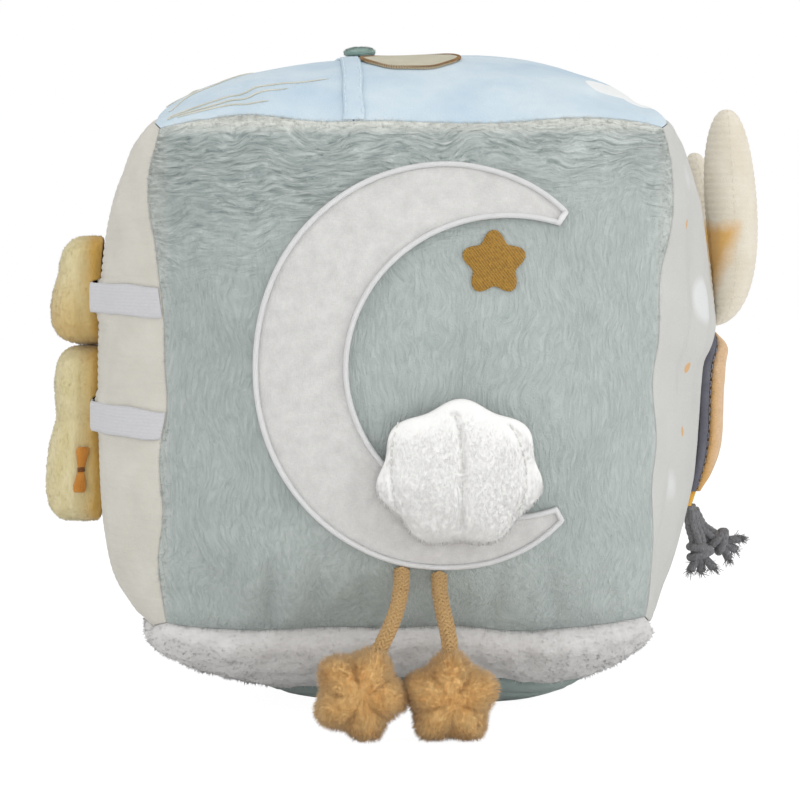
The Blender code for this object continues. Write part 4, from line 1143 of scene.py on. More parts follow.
def make_tab():
    velour, where = cloth("green_velour", sheen=0.3)
    pile = grain(where, 0.0003)
    finish(velour, mixed(pile * 0.4 + grain(where, 0.003) * 0.6, "93B3A8", "B0CBC2"), pile, 0.0003)
    angle = full_turn(48)[None, :]
    turn = np.linspace(0, math.pi, 30)[1:-1, None]
    seam = 1 - 0.04 * np.exp(-((np.sin(angle) / 0.12) ** 2))
    radius = np.where(turn < math.pi / 2, np.sin(turn) ** 0.75, np.sin(turn) ** 0.35) * seam
    base = SEAM_GAP * 2 + BAND_THICKNESS
    lift = base + TAB_HEIGHT * (0.22 + 0.24 * np.cos(turn)) + 0 * angle
    across = TAB_X + TAB_HALVES[0] * radius * np.cos(angle)
    rings = on_cloth("top", across, TAB_Y + TAB_HALVES[1] * radius * np.sin(angle), lift)
    head, foot = (on_cloth("top", TAB_X, TAB_Y, base + TAB_HEIGHT * share) for share in (0.462, -0.022))
    form = nap(turned(rings, head, foot), **TAB_TUFTS, comb=(0, 0, 0.3), seed=5)
    sew("stuffed_tab", form, velour, "top_tab", ["top_tab"])


make_tab()

# Moon: a crescent of white felt laid on the front panel. A raised border of white satin stitches runs
# round inside its edge and sews it down.
MOON_X, MOON_RISE, MOON_RADIUS = 0.016, 0.0032, 0.050
MOON_HALF_WIDTH, MOON_TIP = 0.014, 0.0024
MOON_SPAN = math.radians(122.0)
FELT_THICKNESS = 0.0012
BORDER_RADIUS = 0.0008
THREAD_PITCH = 0.0004


def moon_half_width(share):
    """Half the crescent's width at a share, -1 to 1, of its length."""
    full = np.clip(1 - np.abs(share) ** 2.4, 0, None)
    return MOON_TIP + (MOON_HALF_WIDTH - MOON_TIP) * full


def moon_place(share, side_reach):
    """Distances across and up the front at a share of the crescent's length, off its middle line."""
    angle = math.pi + share * MOON_SPAN
    radius = MOON_RADIUS + side_reach
    return MOON_X + radius * np.cos(angle), MOON_RISE + radius * np.sin(angle)


def make_moon():
    over_width = np.concatenate(([-1, -0.97], np.linspace(-0.9, 0.9, 19), [0.97, 1]))
    s, t = np.meshgrid(np.linspace(-1, 1, 191), over_width)
    across, along = moon_place(s, t * moon_half_width(s))
    form = laid_on("front", across, along, SEAM_GAP + FELT_THICKNESS * (1 - 0.4 * t**12))
    white = felt("white_felt", "BFBEBC", "E9E8E6")
    sew("felt_moon", form, white, "block", ["moon_felt"])
    share = np.linspace(-1, 1, 900) * (1 - BORDER_RADIUS / (MOON_RADIUS * MOON_SPAN))
    edge = []
    for side, run in ((1, share), (-1, share[::-1])):
        across, along = moon_place(run, side * (moon_half_width(run) - BORDER_RADIUS))
        edge.append(on_cloth("front", across, along, 2 * SEAM_GAP + FELT_THICKNESS + BORDER_RADIUS * 0.4))
    route = spaced(np.concatenate(edge), THREAD_PITCH / 2)[:-1]
    ridge = BORDER_RADIUS * (1 + 0.10 * (-1.0) ** np.arange(len(route)))
    satin = one_colour("white_satin", "F1F1F1", 0.5, 0.2, shine=0.4, depth=0.0002)
    border = tube(route, ridge, 10, up=(0, -1, 0), closed=True)
    sew("moon_satin_border", border, satin, "block", ["moon_border"])
    return white


white_felt = make_moon()

# Star: embroidered on the front panel, in the moon's opening. Mustard satin stitches fill its soft-tipped
# outline in rows that lean one way.
STAR_X, STAR_RISE, STAR_RADIUS = 0.022, 0.033, 0.0095
STAR_THICKNESS = 0.0010
SATIN_PITCH = 0.0007


def star_reach(angle, depth):
    """Reach of a soft five-tipped star towards angle, 1 at its tips."""
    return 1 - depth + depth * np.cos(5 * (angle - math.pi / 2))


def make_star():
    satin, where = cloth("mustard_satin", 0.55, 0.2, 0.35)
    places = part_of(where, 0)
    rises = part_of(where, 2)
    slant = places * 0.8 + rises * 0.6
    rows = slant.maths("SINE", slant * (2 * math.pi / SATIN_PITCH))
    shift = grain(where, 0.0008)
    finish(satin, mixed(rows * 0.2 + shift * 0.7, "9A6F1E", "C99A3C"), rows * 0.4 + shift, 0.0004)
    angle = full_turn(140)[None, :]
    share = np.concatenate((np.linspace(0.08, 0.9, 14), [0.95, 0.985, 1.0]))[:, None]

    def ring(some_share, lift):
        radius = STAR_RADIUS * some_share * star_reach(angle, 0.15)
        return on_cloth("front", STAR_X + radius * np.cos(angle), STAR_RISE + radius * np.sin(angle), lift)

    top = ring(share, SEAM_GAP + STAR_THICKNESS * (1 - 0.6 * share**6))
    form = capped(top, ring(share[::-1], SEAM_GAP))
    sew("satin_star", form, satin, "block", ["star_felt"])


make_star()

# Cloud flap: a padded front of white plush with stitched channels, a crackling film and a felt back,
# sewn to the moon along its top edge, where it lifts.
FLAP_X, FLAP_RISE = 0.012, -0.027
FLAP_HALVES = (0.0245, 0.0215)
FLAP_BUMPS, FLAP_BUMP = 7, 0.05
FLAP_LIFT = 3 * SEAM_GAP + 2 * BORDER_RADIUS + FELT_THICKNESS
FLAP_BACK = 0.0008
FLAP_FILM = 0.0003
FLAP_EDGE, FLAP_PADDING = 0.0010, 0.0036
FILM_INSET = 0.002
CHANNEL_WIDTH, CHANNEL_DEPTH = 0.0011, 0.32
CLOUD_TUFTS = {"count": 9000, "length": 0.0014, "width": 0.00018, "tilt": 0.03}
CHANNELS = (
    ((-0.006, -0.012), (-0.008, -0.022), (-0.0075, -0.031), (-0.006, -0.040)),
    ((0.010, -0.010), (0.012, -0.020), (0.0125, -0.031), (0.012, -0.042)),
    ((0.026, -0.013), (0.030, -0.021), (0.0310, -0.030), (0.0285, -0.039)),
)


def flap_ring(share, angle, inset, lift):
    """Points of the flap at a share of its reach towards an angle."""
    reach = share * (1 - FLAP_BUMP + FLAP_BUMP * np.cos(FLAP_BUMPS * (angle - math.pi / 2)))
    across = FLAP_X + (FLAP_HALVES[0] - inset) * reach * np.cos(angle)
    along = FLAP_RISE + (FLAP_HALVES[1] - inset) * reach * np.sin(angle)
    return across, along, on_cloth("front", across, along, lift)


def make_flap():
    angle = full_turn(168)[None, :]
    share = np.concatenate((np.linspace(0.04, 0.9, 30), [0.94, 0.97, 0.99, 1.0]))[:, None]
    lines = [np.stack(smooth_run(corners, 60), 1) for corners in CHANNELS]
    front_lift = FLAP_LIFT + FLAP_BACK + FLAP_FILM + 2 * SEAM_GAP
    across, along, _ = flap_ring(share, angle, 0.0, 0.0)
    groove = np.zeros_like(across)
    for line in lines:
        away = np.hypot(across[..., None] - line[:, 0], along[..., None] - line[:, 1]).min(-1)
        groove = np.maximum(groove, np.exp(-((away / CHANNEL_WIDTH) ** 2)))
    puff = FLAP_EDGE + FLAP_PADDING * np.sqrt(1 - share**3) * (1 - CHANNEL_DEPTH * groove)
    top = flap_ring(share, angle, 0.0, front_lift + puff)[2]
    front = capped(top, flap_ring(share[::-1], angle, 0.0, front_lift)[2])
    minky, where = cloth("white_minky", sheen=0.25)
    tips = grain(where, (0.0006, 0.0006, 0.0009), 3.0)
    finish(minky, mixed(tips * 0.5 + grain(where, 0.005) * 0.5, "EFEEEC", "FAFAF8"), tips, 0.0002, 0.3)
    front = nap(front, **CLOUD_TUFTS, comb=(0, 0, -5.0), seed=7, toward=(0, -1, 0))
    sew("cloud_plush", front, minky, "cloud_flap", ["flap_front"])
    thread = one_colour("white_thread", "E4E4E0", 0.7, 0.1, size=0.0002)
    rows = []
    for line in lines:
        across, along = line.T
        off = np.hypot((across - FLAP_X) / FLAP_HALVES[0], (along - FLAP_RISE) / FLAP_HALVES[1])
        puff = FLAP_EDGE + FLAP_PADDING * np.sqrt(1 - np.clip(off, 0, 0.98) ** 3) * (1 - CHANNEL_DEPTH)
        run = on_cloth("front", across, along, front_lift + puff)
        rows.append(stitches(run, (0, -1, 0), length=0.0020, gap=0.0007, radius=0.0002))
    sew("cloud_channel_stitches", joined(rows), thread, "cloud_flap")
    film, where = cloth("clear_film", 0.3, shine=0.5)
    crackle = grain(where, 0.004, 3.0)
    finish(film, shade("E8ECEE"), crackle, 0.0005)
    film_share = np.linspace(0.06, 1, 16)[:, None]
    base = FLAP_LIFT + FLAP_BACK + SEAM_GAP
    top = flap_ring(film_share, angle, FILM_INSET, base + FLAP_FILM)[2]
    sheet = capped(top, flap_ring(film_share[::-1], angle, FILM_INSET, base)[2])
    sew("cloud_film", sheet, film, "cloud_flap", ["crinkle_film"])
    back_share = np.concatenate((np.linspace(0.06, 0.95, 16), [1.0]))[:, None]
    top = flap_ring(back_share, angle, 0.0, FLAP_LIFT + FLAP_BACK)[2]
    back = capped(top, flap_ring(back_share[::-1], angle, 0.0, FLAP_LIFT)[2])
    sew("cloud_back", back, white_felt, "cloud_flap", ["flap_back"])


make_flap()

# Danglers: two short woven mustard cords, sewn in under the moon's lower edge. Each carries a stuffed
# star of mustard plush, with a crease between its tips.
CORD_RADIUS = 0.00245
CORD_STRANDS = 8
CORD_LAY, CORD_THREAD, CORD_CORE = 0.0105, 0.00048, 0.72
BRAID_STEP = 0.0003
CORD_ROOT, CORD_SLANT = (0.0003, 0.0012, 0.0022), (0, -0.5, -0.866)
STAR_CREASE, STAR_RIM = 0.16, 0.03
PLUSH_RADIUS, PLUSH_HALF_DEPTH = 0.0132, 0.0100
PLUSH_FORWARD = 0.0100
PLUSH_FLOOR_GAP = 0.0008
STAR_TUFTS = {"count": 9000, "length": 0.0026, "width": 0.00013, "spread": 0.9, "tilt": 0.05}
DANGLERS = {
    "left": ((-0.00452, -0.09143, 0.04612), -0.0168, math.radians(-24)),
    "right": ((0.00627, -0.09076, 0.04466), 0.0092, 0.0),
}


def bezier(corners, count):
    """Points of one soft curve from the first of four corners to the last."""
    t = np.linspace(0, 1, count)[:, None]
    first, second, third, fourth = (np.asarray(corner, float) for corner in corners)
    return (1 - t) ** 3 * first + 3 * t * (1 - t) ** 2 * second + 3 * t**2 * (1 - t) * third + t**3 * fourth


def carried(route):
    """Two square-on directions at each point of a route, turned no more than the route turns."""
    tangent = np.gradient(route, axis=0)
    tangent /= np.linalg.norm(tangent, axis=1)[:, None]
    first = np.zeros_like(route)
    way = np.array((1.0, 0.0, 0.0))
    for index in range(len(route)):
        way = way - tangent[index] * way.dot(tangent[index])
        way /= np.linalg.norm(way)
        first[index] = way
    return first, np.cross(tangent, first)


def braid(route, radius, strands, lay, thread_radius):
    """A round braid: threads wound both ways round a route, each over and under the others."""
    route = spaced(route, BRAID_STEP)
    run = np.arange(len(route)) * BRAID_STEP
    first, second = carried(route)
    parts = []
    for direction in (1, -1):
        for strand in range(strands):
            angle = direction * (2 * math.pi * run / lay) + 2 * math.pi * strand / strands
            over = np.sin(strands * angle * direction / 2 + (0 if direction > 0 else math.pi / 2))
            reach = (radius - thread_radius * 1.5 + thread_radius * 0.5 * over)[:, None]
            line = route + first * np.cos(angle)[:, None] * reach + second * np.sin(angle)[:, None] * reach
            parts.append(tube(line, thread_radius, 5))
    return parts


def make_danglers():
    cord_cloth, where = cloth("mustard_cord", 0.85, 0.2)
    ply = grain(where, 0.0005, 3.0)
    finish(cord_cloth, mixed(ply, "B08A55", "DDB984"), ply, 0.0003)
    plush, where = cloth("mustard_plush", sheen=0.3)
    streak = grain(where, (0.0009, 0.0009, 0.0024), 3.0)
    tone = streak * 0.5 + grain(where, 0.006, 3.0) * 0.5
    finish(plush, mixed(tone, "D8984F", "FFDD9E"), streak, 0.0003, 0.4)
    angle = full_turn(110)[None, :]
    turn = np.linspace(0, math.pi, 46)[1:-1, None]
    for seed, (side, (pivot, plush_x, lean)) in enumerate(DANGLERS.items()):
        pivot = np.array(pivot)
        flat = PLUSH_RADIUS * np.sin(turn) ** 0.85 * star_reach(angle - lean, 0.11)
        crease = np.exp(-((np.sin(2.5 * (angle - lean - math.pi / 2) + math.pi / 2) / 0.16) ** 2))
        hollow = 1 - STAR_CREASE * crease * np.clip(np.sin(turn) * 1.6 - 0.3, 0, 1)
        rim = 1 - STAR_RIM * np.exp(-((np.cos(turn) / 0.08) ** 2))
        x = plush_x + flat * np.cos(angle) * rim
        z = flat * np.sin(angle) * rim
        y = pivot[1] - PLUSH_FORWARD - PLUSH_HALF_DEPTH * np.cos(turn) * hollow
        rings = np.stack((x, y + 0 * angle, z), -1)
        rise = PLUSH_FLOOR_GAP + 0.0003 - z.min()
        rings[..., 2] += rise
        ends = [(plush_x, pivot[1] - PLUSH_FORWARD + way * PLUSH_HALF_DEPTH, rise) for way in (-1, 1)]
        middle = np.array((plush_x, pivot[1] - PLUSH_FORWARD, rise))

        def from_middle(places):
            away = places - middle
            return 1.8 * away / (np.linalg.norm(away, axis=1)[:, None] + 0.004) + (0, 0, -0.5)

        form = nap(turned(rings, *ends), **STAR_TUFTS, comb=from_middle, seed=11 + seed)
        low = form[0][:, 2] < PLUSH_FLOOR_GAP * 0.3
        form[0][low, 2] = PLUSH_FLOOR_GAP * 0.3
        body = "dangler_" + side
        sew("star_plush_" + side, form, plush, body, ["plush_star_" + side])

        tip_way = np.array((-math.sin(lean), 0, math.cos(lean)))
        end = middle + tip_way * (PLUSH_RADIUS - 0.002)
        top, slant = pivot + np.array(CORD_ROOT), np.array(CORD_SLANT)
        pull = np.linalg.norm(end - pivot) * 0.4
        route = bezier((top, pivot + slant * pull, end + tip_way * pull, end), 40)
        core = tube(spaced(route, 0.0008), CORD_RADIUS * CORD_CORE, 12)
        threads = braid(route, CORD_RADIUS, CORD_STRANDS, CORD_LAY, CORD_THREAD)
        form = joined([core, *threads])
        sew("woven_cord_" + side, form, cord_cloth, body, ["cord_" + side])


make_danglers()

# Left toys: two white elastic bands from seam to seam, and on each a stuffed chick of yellow plush
# with a felt beak, which slides along the band by the loop on its back.
ELASTIC_WIDTH, ELASTIC_THICKNESS = 0.009, 0.0007
ELASTIC_REACH = REACH - DRAW * 0.96
ELASTIC_STRAIGHT, ELASTIC_LAID = REACH * 0.33, REACH * 0.50
LOOP_THICKNESS, LOOP_PLAY, LOOP_LENGTH = 0.0006, 0.0003, 0.010
LEFT_CROWN = FACES["left"][3] - LEFT_DRAWN_IN
CHICK_BACK = -(REACH + LEFT_CROWN + SEAM_GAP)
BAND_INNER = CHICK_BACK - LOOP_THICKNESS - LOOP_PLAY
BAND_OUTER = BAND_INNER - ELASTIC_THICKNESS


def make_elastics():
    elastic, where = cloth("white_elastic", 0.75, 0.1)
    rise = part_of(where, 2)
    ribs = rise.maths("SINE", rise * (2 * math.pi / 0.0010))
    knit = grain(where, (0.0012, 0.0012, 0.0003))
    colour = mixed(knit * 0.6 + ribs * 0.1 + 0.15, "C7C7CA", "D6D6D9")
    finish(elastic, colour, ribs * 0.15 + knit, 0.00015, 0.6)
    for level, rise_of_band in BAND_RISES.items():
        across = (ELASTIC_REACH * eased(141))[None, :]
        share = np.linspace(-1, 1, 11)[:, None]
        along = rise_of_band + share * ELASTIC_WIDTH / 2
        sides = []
        for depth in (ELASTIC_THICKNESS, 0.0):
            points = on_cloth("left", across + 0 * along, along + 0 * across, SEAM_GAP)
            straight = np.clip(np.abs(across), None, ELASTIC_STRAIGHT) * np.sign(across)
            edge = on_cloth("left", straight + 0 * along, along + 0 * across, SEAM_GAP)[..., 0]
            beyond = (np.abs(across) - ELASTIC_STRAIGHT) / (ELASTIC_LAID - ELASTIC_STRAIGHT)
            beyond = np.clip(beyond, 0, 1)
            held = 1 - (3 * beyond**2 - 2 * beyond**3)
            lifted = points[..., 0] + (BAND_INNER - edge) * held
            ends = np.clip((1 - np.abs(across) / ELASTIC_REACH) / 0.035, 0, 1) ** 0.5
            round_edge = depth * (1 - 0.4 * share**8) * ends
            points[..., 0] = np.where(beyond == 0, BAND_INNER, lifted) - round_edge
            sides.append(points)
        form = shell(*sides)
        sew("elastic_" + level, form, elastic, "block", ["band_" + level])


make_elastics()

# Each chick's outline from its top down: height, reach off the side, half its width, and how far its
# inner side stands off. Its beak is a folded bow of orange felt stitched across its middle.
CHICKS = {
    "upper": (
        (0.1436, 0.0058, 0.0030, 0.0012),
        (0.1425, 0.0082, 0.0068, 0.0),
        (0.1398, 0.0104, 0.0094, 0.0),
        (0.1360, 0.0116, 0.0105, 0.0),
        (0.1318, 0.0120, 0.0112, 0.0),
        (0.1280, 0.0134, 0.0135, 0.0),
        (0.1220, 0.0145, 0.0150, 0.0),
        (0.1165, 0.0141, 0.0136, 0.0),
        (0.1130, 0.0122, 0.0104, 0.0),
        (0.1112, 0.0092, 0.0066, 0.0),
        (0.1104, 0.0060, 0.0026, 0.0010),
    ),
    "lower": (
        (0.1098, 0.0066, 0.0032, 0.0010),
        (0.1088, 0.0098, 0.0080, 0.0),
        (0.1055, 0.0124, 0.0132, 0.0),
        (0.0985, 0.0135, 0.0168, 0.0),
        (0.0920, 0.0131, 0.0156, 0.0),
        (0.0872, 0.0128, 0.0132, 0.0),
        (0.0800, 0.0150, 0.0128, 0.0),
        (0.0722, 0.0160, 0.0132, 0.0),
        (0.0645, 0.0163, 0.0124, 0.0012),
        (0.0590, 0.0150, 0.0098, 0.0034),
        (0.0562, 0.0126, 0.0064, 0.0056),
        (0.0554, 0.0106, 0.0028, 0.0078),
    ),
}
CHICK_TUFTS = {"upper": 5000, "lower": 7500}
CHICK_PILE = {"length": 0.0006, "width": 0.00010, "comb": (0, 0, -0.4), "spread": 0.6, "tilt": 0.03}
CHICK_SEAMS = ((0.45, 0.10, 0.085), (-0.5, 0.05, 0.1))
CHICK_FLATNESS = 0.5
CHICK_SINK, CHICK_SINK_LIMIT = 0.0010, 0.0035
LOOP_SQUARENESS = 0.3
BEAK_HALF, BEAK_BOW, BEAK_LEAN = 0.0007, 0.0016, 0.0006
BEAK_STAND, BEAK_THICKNESS = 0.0003, 0.0009
BEAK_STITCH_RADIUS, BEAK_STITCH_PITCH = 0.00028, 0.0005
BEAKS = {"upper": (1, 0.1385, 0.0070, 0.0060), "lower": (-1, 0.0720, 0.0140, 0.0048)}


def yellow_plush():
    """Yellow plush, with painted shade: darker towards the block, where the chick meets the cloth, and low
    on the upper chick.
    """
    plush, where = cloth("yellow_plush", sheen=0.2)
    pile = grain(where, (0.0009, 0.0009, 0.0028), 3.0, 0.5)
    cloudy = grain(where, (0.007, 0.007, 0.012), 3.0)
    inward = part_of(where, 0)
    # Painted shade where the chick turns in to meet the cloth: a darker, deeper yellow (CBA458) towards the
    # block.
    deep = ramp(inward + cloudy * 0.003, -0.1020, -0.0935)
    rises = part_of(where, 2)
    # Painted shade on the upper chick's under-lit lower half.
    painted_underside_shade = ramp(rises, 0.136, 0.116, 0.0, 0.6)
    painted_underside_shade = painted_underside_shade * ramp(rises, 0.1098, 0.1108)
    tone = pile * 0.4 + cloudy * 0.6
    deep = deep.maths("MAXIMUM", deep * deep, painted_underside_shade)
    colour = mixed(deep, mixed(tone, "CBBC86", "E6DCB6"), "CBA458")
    return finish(plush, colour, pile, 0.0003, 0.35)


def chick_profile(stations):
    """Height, reach, half width and inner inset down a chick, softened between its stations."""
    stations = np.array(stations)
    heights, reaches = stations[:, 0], stations[:, 1]
    run = np.cumsum(np.concatenate(([0], np.hypot(np.diff(heights), np.diff(reaches)) + 0.0004)))
    fine = np.linspace(0, run[-1], 90)
    blur = np.hanning(9) / np.hanning(9).sum()
    softened = []
    for values in stations.T:
        padded = np.pad(np.interp(fine, run, values), 4, mode="reflect", reflect_type="odd")
        softened.append(np.convolve(padded, blur, "valid")[:, None])
    return softened


def make_chick_body(level, plush, seed):
    """One chick's plush, hollowed where its band runs behind it."""
    z, reach, half, inset = chick_profile(CHICKS[level])
    angle = full_turn(96)[None, :]
    seam = 1.0
    for place, depth, width in CHICK_SEAMS:
        seam = seam - depth * np.exp(-((np.cos(angle - place) / width) ** 2))
    flat_back = np.clip(np.cos(angle), -CHICK_FLATNESS, 1) + CHICK_FLATNESS
    rise_share = (z - BLOCK_MIDDLE[2]) / REACH
    crown = FACES["left"][3] * swell(rise_share, EASES["left"][1]) + face_fall("left", 0.0, rise_share)
    behind = -(REACH + crown + SEAM_GAP * 2)
    back = np.minimum(np.maximum(CHICK_BACK, behind) + CHICK_SINK, CHICK_BACK + CHICK_SINK_LIMIT)
    deep = (reach + back - CHICK_BACK - inset * 0.5) / (1 + CHICK_FLATNESS)
    x = back - inset * 0.5 - deep * flat_back * seam
    y = -half * np.sin(angle) * (1 - 0.04 * np.exp(-((np.sin(angle) - 1) / 0.02) ** 2))
    band_z = BLOCK_MIDDLE[2] + BAND_RISES[level]
    room = ELASTIC_WIDTH / 2 + LOOP_PLAY
    inside = 1 / (1 + np.exp((np.abs(z - band_z) - room) / 0.00012))
    limit = back + (BAND_OUTER - LOOP_PLAY * 0.6 - back) * inside
    x = np.minimum(x, limit + 0 * x)
    rings = np.stack((x, y + 0 * x, z + 0 * x), -1)
    ends = [rings[row].mean(0) + np.array((0, 0, way * 0.0004)) for row, way in ((0, 1), (-1, -1))]

    def off_the_band(places):
        beside = (np.abs(places[:, 2] - band_z) < room + 0.0010) & (places[:, 0] > BAND_OUTER - 0.0012)
        return np.where(beside, 0.0, 1.0)

    form = nap(turned(rings, *ends), CHICK_TUFTS[level], **CHICK_PILE, seed=seed, share=off_the_band)
    body = "chick_" + level
    sew("plush_chick_" + level, form, plush, body, [body + "_body", body + "_head"])


def make_strap(level, plush):
    """The loop on a chick's back, a flat strap round the band."""
    bend = full_turn(40)
    outer = BAND_OUTER - LOOP_PLAY - LOOP_THICKNESS
    half_x = (CHICK_BACK - outer) / 2 - LOOP_THICKNESS / 2
    half_z = ELASTIC_WIDTH / 2 + LOOP_PLAY + LOOP_THICKNESS / 2
    ring_x, ring_z = (
        half * np.sign(wave) * np.abs(wave) ** LOOP_SQUARENESS
        for half, wave in ((half_x, np.cos(bend)), (half_z, np.sin(bend)))
    )
    band_z = BLOCK_MIDDLE[2] + BAND_RISES[level]
    edges = []
    for thick, y in ((1, -1), (1, 1), (-1, 1), (-1, -1)):
        wide_x = (CHICK_BACK + outer) / 2 + ring_x * (1 + thick * LOOP_THICKNESS / 2 / half_x)
        wide_z = band_z + ring_z * (1 + thick * LOOP_THICKNESS / 2 / half_z)
        edges.append(np.stack((wide_x, np.full(len(bend), y * LOOP_LENGTH / 2), wide_z), 1))
    body = "chick_" + level
    sew("plush_strap_" + level, looped(np.array(edges)), plush, body, [body + "_loop"])


def make_beak(level, orange, thread):
    """A chick's beak on the side of its plush, with the three stitches across its middle."""
    heights, reaches, halves, _ = np.array(CHICKS[level][::-1]).T
    side, beak_z, tall, beak_reach = BEAKS[level]
    rise = np.linspace(-1, 1, 49)[None, :]
    share = np.linspace(-1, 1, 13)[:, None]
    bow = BEAK_BOW * np.abs(rise) ** 0.8
    wide = BEAK_HALF + bow * (1 - 0.45 * np.clip((np.abs(rise) - 0.7) / 0.3, 0, 1) ** 2)
    x = CHICK_BACK - beak_reach - BEAK_LEAN * rise * side + share * wide
    z = beak_z + rise * tall / 2 + 0 * share
    deep = np.interp(z, heights, reaches) / (1 + CHICK_FLATNESS)
    off = np.clip((CHICK_BACK - x) / deep - CHICK_FLATNESS, -0.98, 0.98)
    skin = np.interp(z, heights, halves) * np.sqrt(1 - off**2)
    front = np.stack((x, side * (skin + (BEAK_STAND + bow * (1 - 0.5 * share**2))), z), -1)
    rear = front - np.array((0, side * BEAK_THICKNESS, 0))
    body = "chick_" + level
    sew("felt_beak_" + level, shell(front, rear), orange, body, [body + "_beak"])
    middle = front[front.shape[0] // 2, front.shape[1] // 2]
    reach = np.linspace(-1, 1, 9)[:, None]
    loops = []
    for turn in (-1, 0, 1):
        spot = middle + np.array((0, side * 0.0002, turn * BEAK_STITCH_PITCH))
        line = spot + reach * (0.0010, 0, 0.0001) - np.array((0, side * 0.0006, 0)) * reach**4
        loops.append(tube(line, BEAK_STITCH_RADIUS, 6))
    sew("beak_stitch_" + level, joined(loops), thread, body)


def make_chicks():
    plush = yellow_plush()
    orange = felt("orange_felt", "B4702A", "DB9A4B")
    thread, where = cloth("brown_stitch", 0.7, 0.2)
    finish(thread, mixed(grain(where, 0.0004), "6E4420", "8E5C2C"), grain(where, 0.0002), 0.0001)
    for seed, level in enumerate(CHICKS):
        make_chick_body(level, plush, 21 + seed)
        make_strap(level, plush)
        make_beak(level, orange, thread)


make_chicks()

# Right toys: two stuffed petals of fine ivory corduroy that bow out from their sewn feet, with a
# painted golden glow, as of light shining through, low on their inner side.
PETALS = {
    "front": (0.0665, (0.0082, 0.0075), -0.022, 0.0037),
    "rear": (0.0540, (0.0062, 0.0080), 0.024, 0.0010),
}
PETAL_FOOT = 0.0125
PETAL_BOW, PETAL_BOW_SHARE = 0.0055, 0.45
PETAL_WALE, PETAL_WALE_DEPTH = 0.0021, 0.00034
PETAL_FLOPS = {"front": -0.0006, "rear": 0.0006}
PETAL_SEAM, PETAL_HOLLOW = 0.09, 0.16


def make_petals():
    ivory, where = cloth("ivory_velour", sheen=0.2)
    pile = grain(where, 0.0004)
    cloudy = grain(where, (0.008, 0.008, 0.012), 3.0)
    x_way = part_of(where, 0)
    z_way = part_of(where, 2)
    # Painted light: a golden glow (DFAA4C) low on the petals' inner side, for light shining through the
    # cloth and reflected warmly in the hollow beside the block.
    slant = x_way - z_way * 0.35 + 0.0515 + cloudy * 0.002
    inner = ramp(slant, 0.1052, 0.1010)
    low = ramp(z_way + cloudy * 0.003, 0.1510, 0.1465)
    painted_glow = low * inner
    plain = mixed(pile * 0.25 + cloudy * 0.45 + 0.2, "D5C9B0", "F3EDE1")
    finish(ivory, mixed(painted_glow * 0.85, plain, "DFAA4C"), pile, 0.0003, 0.6)
    thread = one_colour("ivory_seam_thread", "DDD3C2", 0.8, 0.2)
    angle = full_turn(88)[None, :]
    for name, (height, halves, across_place, stand) in PETALS.items():
        foot = on_cloth("right", across_place, PETAL_FOOT, 0.0)
        box_low, box_high = (np.array(corner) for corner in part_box("petal_" + name))
        foot[2] = box_low[2]
        share = (1 - np.cos(np.linspace(0.03, math.pi - 0.03, round(height / PETAL_WALE * 6)))) / 2
        share = share[::-1][:, None]
        wide = share**0.52 * (1 - share) ** 0.42 / 0.524
        lean = stand * share + PETAL_BOW * np.sin(math.pi * share**PETAL_BOW_SHARE)
        flop = -PETAL_FLOPS[name] * np.clip((share - 0.55) / 0.45, 0, 1) ** 2
        seam = 1 - PETAL_SEAM * np.exp(-((np.sin(angle) / 0.07) ** 2))
        rib = wales(share * height, PETAL_WALE, PETAL_WALE_DEPTH) * np.clip(wide * 2, 0, 1)
        hollow = PETAL_HOLLOW * np.exp(-(((share - 0.42) / 0.2) ** 2))
        hollow = 1 - hollow * np.exp(-(((angle - 3.6) / 0.5) ** 2))
        x = lean + flop + (halves[0] * wide * seam * hollow + rib) * np.cos(angle)
        y = (halves[1] * wide + rib) * np.sin(angle) + 0 * x
        rings = np.stack((x, y, share * (box_high[2] - box_low[2]) + 0 * x), -1) + foot
        rings[..., 0] += box_low[0] - rings[..., 0].min() - 0.0006
        body = "petal_" + name
        sew("stuffed_petal_" + name, capped(rings), ivory, body, [body])
        for side, way in ((22, 1), (66, -1)):
            run = spaced(rings[4:-4, side], 0.0006)
            seam_row = stitches(run, (0, way, 0), length=0.0016, gap=0.0009, radius=0.00010)
            sew("petal_seam_%s_%d" % (name, side), seam_row, thread, body)


make_petals()

# Pendant: slate felt behind a padded mustard front with a yellow tab at its foot, hung from its top
# edge. The mustard front is held to the felt by a row of stitches inside its rim.
PENDANT_TOP, PENDANT_LENGTH, PENDANT_Y = 0.0100, 0.0500, 0.001
PENDANT_HALF_WIDTH = 0.0115
PENDANT_BACK, PENDANT_PAD_START = 0.0030, 0.0034
PENDANT_RIM, PENDANT_PADDING = 0.0014, 0.0040
PENDANT_FLARE = 0.0009
PENDANT_RIPPLE, PENDANT_RIPPLE_PITCH = 0.00025, 0.0052
PENDANT_TAB = (0.0042, 0.0052, 0.0020)


def pendant_half(t):
    """Half the pendant's width at a share, -1 to 1, of its length."""
    return PENDANT_HALF_WIDTH * (0.55 + 0.45 * (1 - t**2))


